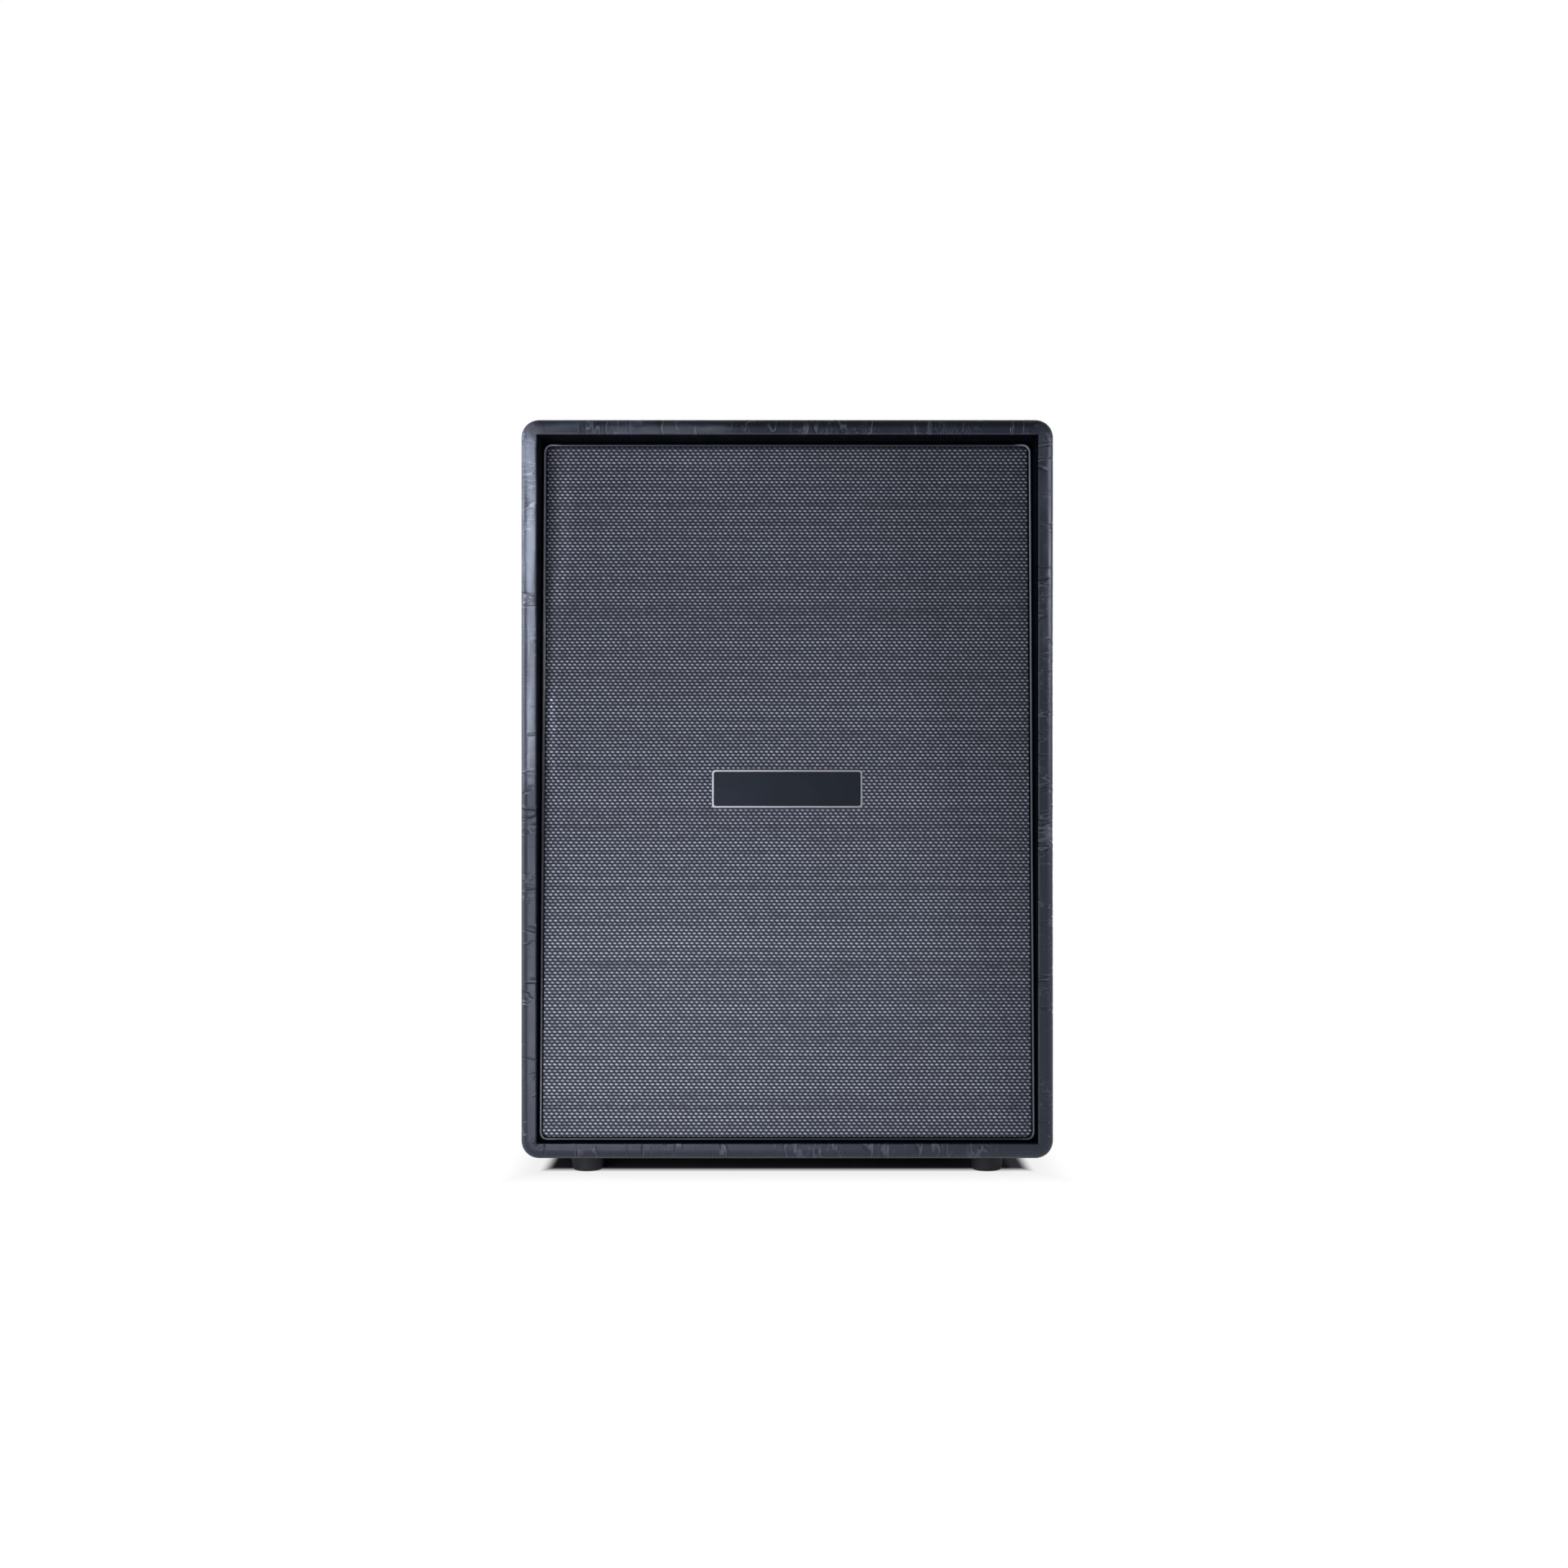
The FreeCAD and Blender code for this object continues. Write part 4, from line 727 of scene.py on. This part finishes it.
def turned_steel(name, driver):
    """Plated steel with the fine rings of a lathe round the driver's axis."""
    finish = Finish(name, {"Metallic": 1.0})
    out = finish.from_axis(OUTWARD, slope_place(f"{driver}_basket").translation)
    rings = finish.noise(finish.joined(out), FINENESS["lathe_rings"], 3)
    cloud = finish.noise(finish.spot(), FINENESS["plating"], 3)
    finish.set({
        "Base Color": finish.mix(cloud, rgb(0.36, 0.36, 0.34), rgb(0.44, 0.44, 0.42)),
        "Roughness": 0.36 + (rings - 0.5) * 0.25 + (cloud - 0.5) * 0.1,
        "Normal": finish.relief(rings, RELIEF["turned_steel"]),
    })
    return finish.material


def ferrite():
    """Grey ceramic with chips and grinding marks."""
    finish = Finish("magnet_ferrite")
    spot = finish.spot()
    dust = finish.noise(spot, FINENESS["ferrite_dust"], 4, 0.7)
    chips = finish.fade(finish.cells(spot, FINENESS["ferrite_chips"]), 0.16, 0.05)
    tone = finish.mix(dust, rgb(0.028, 0.028, 0.030), rgb(0.075, 0.075, 0.078))
    finish.set({
        "Base Color": finish.mix(chips, tone, rgb(0.02, 0.02, 0.021)),
        "Roughness": 0.55 + dust * 0.25,
        "Normal": finish.relief(dust * 0.5 - chips, RELIEF["ferrite"]),
    })
    return finish.material


# Shapes

def rounded_outline(half_width, half_height, radius, level=0.0):
    """Points round a rectangle with round corners, anticlockwise."""
    points = []
    for turn, (right, up) in enumerate(((1, 1), (-1, 1), (-1, -1), (1, -1))):
        x, y = right * (half_width - radius), up * (half_height - radius)
        for step in range(CORNER_STEPS + 1):
            angle = math.pi / 2 * (turn + step / CORNER_STEPS)
            points.append(Vector((x + radius * math.cos(angle), y + radius * math.sin(angle), level)))
    return points


def circle(radius, level, steps):
    """Points round the local Z axis, anticlockwise."""
    angles = [2 * math.pi * step / steps for step in range(steps)]
    return [Vector((radius * math.cos(angle), radius * math.sin(angle), level)) for angle in angles]


def skin(loops, closed=False, start_cap=False, end_cap=False):
    """A mesh over loops of as many points each, closed into a ring or capped at its ends."""
    shape = bmesh.new()
    rows = [[shape.verts.new(point) for point in loop] for loop in loops]
    count = len(rows[0])
    for low, high in zip(rows, rows[1:] + rows[:1] if closed else rows[1:]):
        for index in range(count):
            after = (index + 1) % count
            shape.faces.new((low[index], low[after], high[after], high[index]))
    if start_cap:
        shape.faces.new(rows[0][::-1])
    if end_cap:
        shape.faces.new(rows[-1])
    bmesh.ops.recalc_face_normals(shape, faces=shape.faces)
    return shape


def turned(profile, steps):
    """A closed profile of (radius, level) points turned about the local Z axis."""
    return skin([circle(radius, level, steps) for radius, level in profile], closed=True)


def mesh_from(name, shape):
    """A mesh from a bmesh, which is used up."""
    mesh = bpy.data.meshes.new(name)
    shape.to_mesh(mesh)
    shape.free()
    return mesh


def add_object(name, data, place=None):
    """A new object in the scene."""
    piece = bpy.data.objects.new(name, data)
    piece.matrix_world = place or Matrix.Identity(4)
    bpy.context.scene.collection.objects.link(piece)
    return piece


def add_piece(name, data, material, stands_for, place=None, sharp=None, rides=True):
    """A new piece of the object in place of CAD nodes, riding on the cabinet unless it bends."""
    data.materials.append(material)
    piece = add_object(name, data, place)
    if sharp is not None:
        data.shade_smooth()
        data.set_sharp_from_angle(angle=sharp)
    if rides:
        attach(piece, "cabinet")
    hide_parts(*stands_for)
    return piece


def flex(ring):
    """Moves the placement of a driver's ring, which runs from its cone at the start radius to the cabinet
    at the end radius, into its points, so that they stand where they are in the world.
    """
    # For a moment the points lie along X by their radius, then each goes back to where it stands in the
    # world
    points = ring.data.vertices
    shape = [ring.matrix_world @ point.co for point in points]
    for point in points:
        point.co = (point.co.xy.length, 0.0, 0.0)
    ring.matrix_world = Matrix.Identity(4)
    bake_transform(ring)
    for point, where in zip(points, shape):
        point.co = where
    ring.data.update()


def paint(material, *nodes):
    """Gives CAD nodes a material."""
    for node in nodes:
        mesh = frame["nodes"][node].data
        mesh.materials.clear()
        mesh.materials.append(material)


def islands(node):
    """The separate pieces of a CAD node, each as a list of points."""
    shape = bmesh.new()
    shape.from_mesh(frame["nodes"][node].data)
    bmesh.ops.remove_doubles(shape, verts=shape.verts, dist=WELD)
    groups, seen = [], set()
    for first in shape.verts:
        if first in seen:
            continue
        seen.add(first)
        queue, points = [first], []
        while queue:
            vertex = queue.pop()
            points.append(vertex.co.copy())
            others = [edge.other_vert(vertex) for edge in vertex.link_edges]
            fresh = [other for other in others if other not in seen]
            seen.update(fresh)
            queue.extend(fresh)
        groups.append(points)
    shape.free()
    return groups


def seats(node, axis_of):
    """For each piece of a node: its placement with local Z along its axis, its radius and its length."""
    found = []
    for points in islands(node):
        middle = sum(points, Vector()) / len(points)
        out = axis_of(middle)
        side = out.orthogonal().normalized()
        across = out.cross(side)
        spans = []
        for direction in (side, across, out):
            places = [point.dot(direction) for point in points]
            spans.append((min(places), max(places)))
        origin = side * (sum(spans[0]) / 2) + across * (sum(spans[1]) / 2) + out * spans[2][0]
        radius = (spans[0][1] - spans[0][0]) / 2
        found.append((axes(side, across, out, origin), radius, spans[2][1] - spans[2][0]))
    return found


def repeated(name, mesh, places):
    """One mesh with a copy at each place."""
    shape = bmesh.new()
    for place in places:
        copy = mesh.copy()
        copy.transform(place)
        shape.from_mesh(copy)
        bpy.data.meshes.remove(copy)
    return mesh_from(name, shape)


def cross_recess(reach_out, width, low, high):
    """Two crossed slots as one cutting shape."""
    shape = bmesh.new()
    for size in ((reach_out, width), (width, reach_out)):
        scale = Matrix.Diagonal((2 * size[0], 2 * size[1], high - low, 1))
        bmesh.ops.create_cube(shape, size=1, matrix=Matrix.Translation((0, 0, (low + high) / 2)) @ scale)
    return shape


def screw_mesh(radius, length, head):
    """A pan-headed screw with a cross recess: its head ends at the length, its tip at level 0."""
    base, shank = length - head, radius * SCREW_SHANK
    profile = [(shank * SCREW_TIP, 0), (shank, shank), (shank, base), (radius, base)]
    for step in range(DOME_STEPS + 1):
        angle = math.pi / 2 * step / DOME_STEPS
        level = base + head * (HEAD_SIDE + (1 - HEAD_SIDE) * math.sin(angle))
        profile.append((radius * (HEAD_FLAT + (1 - HEAD_FLAT) * math.cos(angle)), level))
    loops = [circle(out, level, HEAD_STEPS) for out, level in profile]
    body = add_object("screw", mesh_from("screw", skin(loops, start_cap=True, end_cap=True)))
    floor = length - head * RECESS_DEPTH
    slots = cross_recess(radius * RECESS_REACH, radius * RECESS_WIDTH, floor, length + head)
    cutter = add_object("recess", mesh_from("recess", slots))
    cut = body.modifiers.new("recess", "BOOLEAN")
    cut.object = cutter
    cut.use_self = True
    state = bpy.context.evaluated_depsgraph_get()
    mesh = bpy.data.meshes.new_from_object(body.evaluated_get(state))
    for helper in (body, cutter):
        bpy.data.objects.remove(helper)
    return mesh


def to_the_back(spot):
    """The way that a fastener of the back points out of the box."""
    return Vector((0, 1, 0))


def to_the_side(spot):
    """The way that a fastener of a side points out of the box."""
    return ACROSS * math.copysign(1, spot.x)


def add_screws(node, material, head, axis_of):
    """Detailed screws in place of a CAD node's plain ones."""
    found = seats(node, axis_of)
    mesh = screw_mesh(found[0][1], found[0][2], head)
    mesh = repeated(node + "_detail", mesh, [place for place, radius, length in found])
    add_piece(node + "_detail", mesh, material, [node], sharp=SHARP)


def cup_mesh(radius, height):
    """A cup washer whose rim slopes up to the screw's head."""
    profile = [(radius * out, height * up) for out, up in CUP_PROFILE]
    return mesh_from("cup", turned(profile, HEAD_STEPS))


def grille_cloth(look):
    """The cloth, stretched over the front of its frame and turned back along the frame's edges."""
    low, high = reach("grille_cloth", ACROSS)
    bottom, top = reach("grille_cloth", UPSLOPE)
    half_width, half_height = (high - low) / 2, (top - bottom) / 2
    loops = [rounded_outline(half_width, half_height, CLOTH_CORNER, -CLOTH_TURN)]
    for step in range(CORNER_STEPS + 1):
        angle = math.pi / 2 * step / CORNER_STEPS
        inset = CLOTH_EDGE * (1 - math.cos(angle))
        level = CLOTH_EDGE * (math.sin(angle) - 1)
        loops.append(rounded_outline(half_width - inset, half_height - inset, CLOTH_CORNER - inset, level))
    mesh = mesh_from("grille_cloth_stretched", skin(loops, end_cap=True))
    cloth = add_piece(
        "grille_cloth_stretched", mesh, weave(look), ["grille_cloth"],
        slope_place("grille_cloth"), SHARP)
    body = cloth.modifiers.new("thickness", "SOLIDIFY")
    body.thickness = CLOTH
    body.offset = -1
    turn = CLOTH_TURN + CLOTH_EDGE * (math.pi / 2 - 2)
    flat = (2 * (half_width + turn), 2 * (half_height + turn))


def grille_piping():
    """A round cord round the cloth's edge, as one smooth loop."""
    place = slope_place("grille_cloth")
    width = reach("grille_piping", ACROSS)
    height = reach("grille_piping", UPSLOPE)
    level = reach("grille_piping", OUTWARD)[1] - PIPING / 2 - place.translation.dot(OUTWARD)
    bend = CLOTH_CORNER + PIPING / 2
    size = ((width[1] - width[0] - PIPING) / 2, (height[1] - height[0] - PIPING) / 2)
    points = rounded_outline(*size, bend, level)
    curve = bpy.data.curves.new("grille_piping_cord", "CURVE")
    curve.dimensions = "3D"
    curve.bevel_depth = PIPING / 2
    curve.bevel_resolution = CORNER_STEPS
    line = curve.splines.new("POLY")
    line.points.add(len(points) - 1)
    for made, point in zip(line.points, points):
        made.co = (*point, 1)
    line.use_cyclic_u = True
    add_piece("grille_piping_cord", curve, cord_finish(), ["grille_piping"], place)


def radii(node, place):
    """Least and greatest distance of a CAD node from a placement's Z axis."""
    back = place.inverted()
    distances = [(back @ vertex.co).xy.length for vertex in frame["nodes"][node].data.vertices]
    return min(distances), max(distances)


def rolled_ring(name, inner, outer, level, rolls, height, thickness):
    """A ring of smooth concentric rolls between two flat lands."""
    roll_start, roll_end = inner[1], outer[0]
    count = rolls * ROLL_STEPS
    top = [(inner[0], level)]
    for step in range(count + 1):
        share = step / count
        wave = math.sin(2 * math.pi * rolls * share)
        top.append((roll_start + (roll_end - roll_start) * share, level + height * wave))
    top.append((outer[1], level))
    under = [(radius, place + thickness) for radius, place in reversed(top)]
    return mesh_from(name, turned(top + under, LATHE_STEPS))


def driver_suspension(name, edge_material, spider_material):
    """The corrugated edge and spider of one driver."""
    place = slope_place(f"{name}_basket")
    inner, outer = radii(f"{name}_edge", place)
    start, end = (inner, inner + EDGE_LAND), (inner + EDGE_LAND + EDGE_BAND, outer)
    mesh = rolled_ring(f"{name}_edge_rolls", start, end, 0.0, EDGE_ROLLS, EDGE_ROLL, EDGE_SHEET)
    edge = add_piece(
        f"{name}_edge_rolls", mesh, edge_material, [f"{name}_edge"], place, SHARP, rides=False)
    flex(edge)
    inner, outer = radii(f"{name}_spider", place)
    front = place.translation.dot(OUTWARD)
    level = sum(reach(f"{name}_spider", OUTWARD)) / 2 - SPIDER_SHEET / 2 - front
    start, end = (inner, inner + SPIDER_COLLAR), (outer - SPIDER_LAND, outer)
    mesh = rolled_ring(
        f"{name}_spider_rolls", start, end, level, SPIDER_ROLLS, SPIDER_ROLL, SPIDER_SHEET)
    spider = add_piece(
        f"{name}_spider_rolls", mesh, spider_material, [f"{name}_spider"], place, SHARP,
        rides=False)
    flex(spider)


# Operators

class CABINET_OT_covering(bpy.types.Operator):
    """Cover the box and the back panels with creased vinyl"""

    bl_idname = "cabinet.covering"
    bl_label = "Covering"

    def execute(self, context):
        look = context.scene.cabinet_vinyl
        paint(vinyl("vinyl", look), "vinyl_covering")
        paint(vinyl("back_panel_vinyl", look), "upper_back_panel", "lower_back_panel")
        return {"FINISHED"}


class CABINET_OT_woodwork(bpy.types.Operator):
    """Give the panels, baffle, battens and grille frame their wood"""

    bl_idname = "cabinet.woodwork"
    bl_label = "Woodwork"

    def execute(self, context):
        birch = rgb(0.50, 0.36, 0.21), rgb(0.35, 0.24, 0.13)
        paint(timber("side_ply", *birch, UP, ACROSS), "left_side_panel", "right_side_panel")
        paint(timber("end_ply", *birch, ACROSS, UP), "top_panel", "bottom_panel")
        face = reach("baffle_board", OUTWARD)[1]
        paint(timber("baffle_ply", *birch, UPSLOPE, OUTWARD, face), "baffle_board")
        pine = timber("batten_wood", rgb(0.58, 0.41, 0.23), rgb(0.40, 0.26, 0.13), UP)
        paint(pine, "baffle_battens", "back_panel_battens", "grille_frame")
        return {"FINISHED"}


class CABINET_OT_grille(bpy.types.Operator):
    """Stretch the cloth over its frame, lay the piping round it and finish the fixing pads"""

    bl_idname = "cabinet.grille"
    bl_label = "Grille"

    def execute(self, context):
        grille_cloth(context.scene.cabinet_weave)
        grille_piping()
        paint(hook_and_loop(), "grille_fixing_pads")
        return {"FINISHED"}


class CABINET_OT_plate(bpy.types.Operator):
    """Finish the bare plate on the grille and its pins"""

    bl_idname = "cabinet.plate"
    bl_label = "Bare plate"

    def execute(self, context):
        paint(plate_finish(), "badge_plate")
        paint(speckled("badge_pins"), "badge_pins")
        return {"FINISHED"}


class CABINET_OT_drivers(bpy.types.Operator):
    """Finish both loudspeakers, with their corrugated edges and spiders"""

    bl_idname = "cabinet.drivers"
    bl_label = "Loudspeakers"

    def execute(self, context):
        paints = {
            "basket": speckled("basket_paint"),
            "magnet": ferrite(),
            "gasket": speckled("gasket_card"),
            "terminal_strip": speckled("terminal_board"),
            "voice_coil": speckled("coil_metal"),
        }
        edge = paper("edge_paper", rgb(0.012, 0.012, 0.013))
        spider = stiffened_cloth("spider_cloth", rgb(0.42, 0.27, 0.10), SPIDER_THREAD)
        for name in ("upper", "lower"):
            for piece, material in paints.items():
                paint(material, f"{name}_{piece}")
            steel = turned_steel(f"{name}_plate_steel", name)
            paint(steel, f"{name}_front_plate", f"{name}_back_plate")
            pulp = paper(f"{name}_cone_paper", rgb(0.030, 0.029, 0.029), name)
            paint(pulp, f"{name}_cone", f"{name}_dust_cap")
            driver_suspension(name, edge, spider)
        return {"FINISHED"}


class CABINET_OT_connectors(bpy.types.Operator):
    """Finish the jack plate, its sockets and its switch"""

    bl_idname = "cabinet.connectors"
    bl_label = "Connectors"

    def execute(self, context):
        paint(speckled("jack_plate_paint"), "jack_plate")
        paint(speckled("socket_plastic"), "left_jack_socket", "right_jack_socket", "switch_body")
        paint(speckled("rocker_plastic"), "switch_rocker")
        paint(speckled("nut_chrome"), "jack_nuts")
        return {"FINISHED"}


class CABINET_OT_handles(bpy.types.Operator):
    """Finish the recessed handles"""

    bl_idname = "cabinet.handles"
    bl_label = "Handles"

    def execute(self, context):
        paint(speckled("handle_plastic"), "left_handle_dish", "right_handle_dish")
        paint(speckled("grip_plastic"), "left_handle_grip", "right_handle_grip")
        return {"FINISHED"}


class CABINET_OT_fasteners(bpy.types.Operator):
    """Set detailed screws and cup washers in place, and finish the other fasteners"""

    bl_idname = "cabinet.fasteners"
    bl_label = "Fasteners"

    def execute(self, context):
        black = speckled("fastener_black")
        zinc = speckled("fastener_zinc")
        add_screws("back_panel_screws", black, WOOD_HEAD, to_the_back)
        add_screws("jack_plate_screws", black, PLATE_HEAD, to_the_back)
        add_screws("handle_screws", black, PLATE_HEAD, to_the_side)
        found = seats("back_panel_cups", to_the_back)
        cup = cup_mesh(*found[0][1:])
        cups = repeated("back_panel_cup_washers", cup, [place for place, radius, height in found])
        add_piece("back_panel_cup_washers", cups, black, ["back_panel_cups"], sharp=SHARP)
        paint(zinc, "speaker_bolts", "speaker_tee_nuts", "foot_screws", "foot_washers")
        return {"FINISHED"}


class CABINET_OT_feet(bpy.types.Operator):
    """Finish the rubber feet"""

    bl_idname = "cabinet.feet"
    bl_label = "Feet"

    def execute(self, context):
        paint(speckled("foot_rubber"), "rubber_feet")
        return {"FINISHED"}


def lamp(name, power, place, target, size, spread):
    """A soft rectangular light, aimed at a point, with a spread in degrees."""
    light = bpy.data.lights.new(name, "AREA")
    light.shape = "RECTANGLE"
    light.size, light.size_y = size
    light.energy = power
    light.spread = math.radians(spread)
    aim = (Vector(target) - Vector(place)).to_track_quat("-Z", "Y").to_matrix().to_4x4()
    add_object(name, light, Matrix.Translation(place) @ aim).visible_camera = False


def shown_rays(graph):
    """1 for the rays that look straight at the background or through glass, and 1 for mirrored rays."""
    path = graph.node("ShaderNodeLightPath", output="Is Camera Ray").socket.node.outputs
    return Wire(path["Is Camera Ray"]) + Wire(path["Is Transmission Ray"]), Wire(path["Is Glossy Ray"])


def studio_world(front, behind):
    """White behind the object, and round it a room that is dim in front and paler at the back."""
    world = bpy.data.worlds.new("studio")
    world.use_nodes = True
    world.node_tree.nodes.clear()
    graph = Graph(world.node_tree)
    straight, mirrored = shown_rays(graph)
    x, y, z = graph.parts(graph.node("ShaderNodeTexCoord", output="Generated"))
    back = graph.fade(y, *ROOM_TURN)
    room = graph.node(
        "ShaderNodeBackground", inputs={"Color": STUDIO_TINT, "Strength": front + back * (behind - front)})
    white = graph.node("ShaderNodeBackground", inputs={"Color": rgb(1, 1, 1), "Strength": 1.0})
    share = straight + mirrored * graph.fade(y, *MIRROR_TURN)
    both = graph.node("ShaderNodeMixShader", inputs={0: share, 1: room, 2: white})
    graph.node("ShaderNodeOutputWorld", inputs={"Surface": both})
    return world


def studio_floor():
    """A pale floor that shows as white, apart from the shadow close below the object, which a painted
    shadow in the floor's colour deepens.
    """
    shape = bmesh.new()
    bmesh.ops.create_grid(shape, size=FLOOR_REACH)
    floor = add_object("studio_floor", mesh_from("studio_floor", shape))
    material = bpy.data.materials.new("studio_floor")
    material.use_nodes = True
    material.node_tree.nodes.clear()
    graph = Graph(material.node_tree)
    straight, mirrored = shown_rays(graph)
    x, y, z = graph.parts(graph.spot())
    aside = (abs(x) - CAD_BOX[1][0]) * SHADOW_ENDS
    outside = aside.math("MAXIMUM", abs(y) - CAD_BOX[1][1])
    near = graph.fade(outside, *SHADOW_EDGE)
    clear = near * (1 - SHADOW_TAIL) + graph.fade(outside, *SHADOW_FAR) * SHADOW_TAIL
    # Painted shadow: the floor's own colour darkens close below the object, on top of the lamps' shadow
    ground = graph.mix(near, FLOOR_PAINTED_SHADOW, FLOOR_PALE)
    plain = graph.node("ShaderNodeBsdfDiffuse", inputs={"Color": ground})
    white = graph.node("ShaderNodeEmission", inputs={"Color": rgb(1, 1, 1), "Strength": 1.0})
    share = clear * (straight + mirrored * FLOOR_MIRRORED)
    both = graph.node("ShaderNodeMixShader", inputs={0: share, 1: plain, 2: white})
    graph.node("ShaderNodeOutputMaterial", inputs={"Surface": both})
    floor.data.materials.append(material)


class CABINET_OT_stage(bpy.types.Operator):
    """Set up the floor, the lights and the camera"""

    bl_idname = "cabinet.stage"
    bl_label = "Studio"

    def execute(self, context):
        look = context.scene.cabinet_stage
        context.scene.view_settings.view_transform = "Standard"
        context.scene.world = studio_world(look.front, look.behind)
        studio_floor()
        for name, setting in LAMPS.items():
            lamp(name, getattr(look, name), *setting)
        camera = bpy.data.cameras.new("camera")
        camera.lens = look.lens
        place = Matrix.Translation((look.shift, -look.distance, look.height))
        context.scene.camera = add_object("camera", camera, place @ Matrix.Rotation(math.pi / 2, 4, "X"))
        return {"FINISHED"}


STEPS = (
    CABINET_OT_covering, CABINET_OT_woodwork, CABINET_OT_grille, CABINET_OT_plate, CABINET_OT_drivers,
    CABINET_OT_connectors, CABINET_OT_handles, CABINET_OT_fasteners, CABINET_OT_feet, CABINET_OT_stage,
)
LOOKS = {"cabinet_vinyl": VinylLook, "cabinet_weave": WeaveLook, "cabinet_stage": StageLook}


class CABINET_PT_panel(bpy.types.Panel):
    """Settings and steps of the cabinet"""

    bl_idname = "CABINET_PT_panel"
    bl_label = "Speaker cabinet"
    bl_space_type = "VIEW_3D"
    bl_region_type = "UI"
    bl_category = "Cabinet"

    def draw(self, context):
        for name, group in LOOKS.items():
            box = self.layout.box()
            for setting in group.__annotations__:
                box.prop(getattr(context.scene, name), setting)
        for step in STEPS:
            self.layout.operator(step.bl_idname)


def register():
    """Adds the settings, the steps and the panel to Blender."""
    for made in (*LOOKS.values(), *STEPS, CABINET_PT_panel):
        bpy.utils.register_class(made)
    for name, group in LOOKS.items():
        setattr(bpy.types.Scene, name, PointerProperty(type=group))


def unregister():
    """Takes them out again."""
    for name in LOOKS:
        delattr(bpy.types.Scene, name)
    for made in reversed((*LOOKS.values(), *STEPS, CABINET_PT_panel)):
        bpy.utils.unregister_class(made)


def main():
    """Dresses the cabinet, one step after another."""
    register()
    bpy.ops.cabinet.covering()
    bpy.ops.cabinet.woodwork()
    bpy.ops.cabinet.grille()
    bpy.ops.cabinet.plate()
    bpy.ops.cabinet.drivers()
    bpy.ops.cabinet.connectors()
    bpy.ops.cabinet.handles()
    bpy.ops.cabinet.fasteners()
    bpy.ops.cabinet.feet()
    bpy.ops.cabinet.stage()


if __name__ == "__main__":
    main()
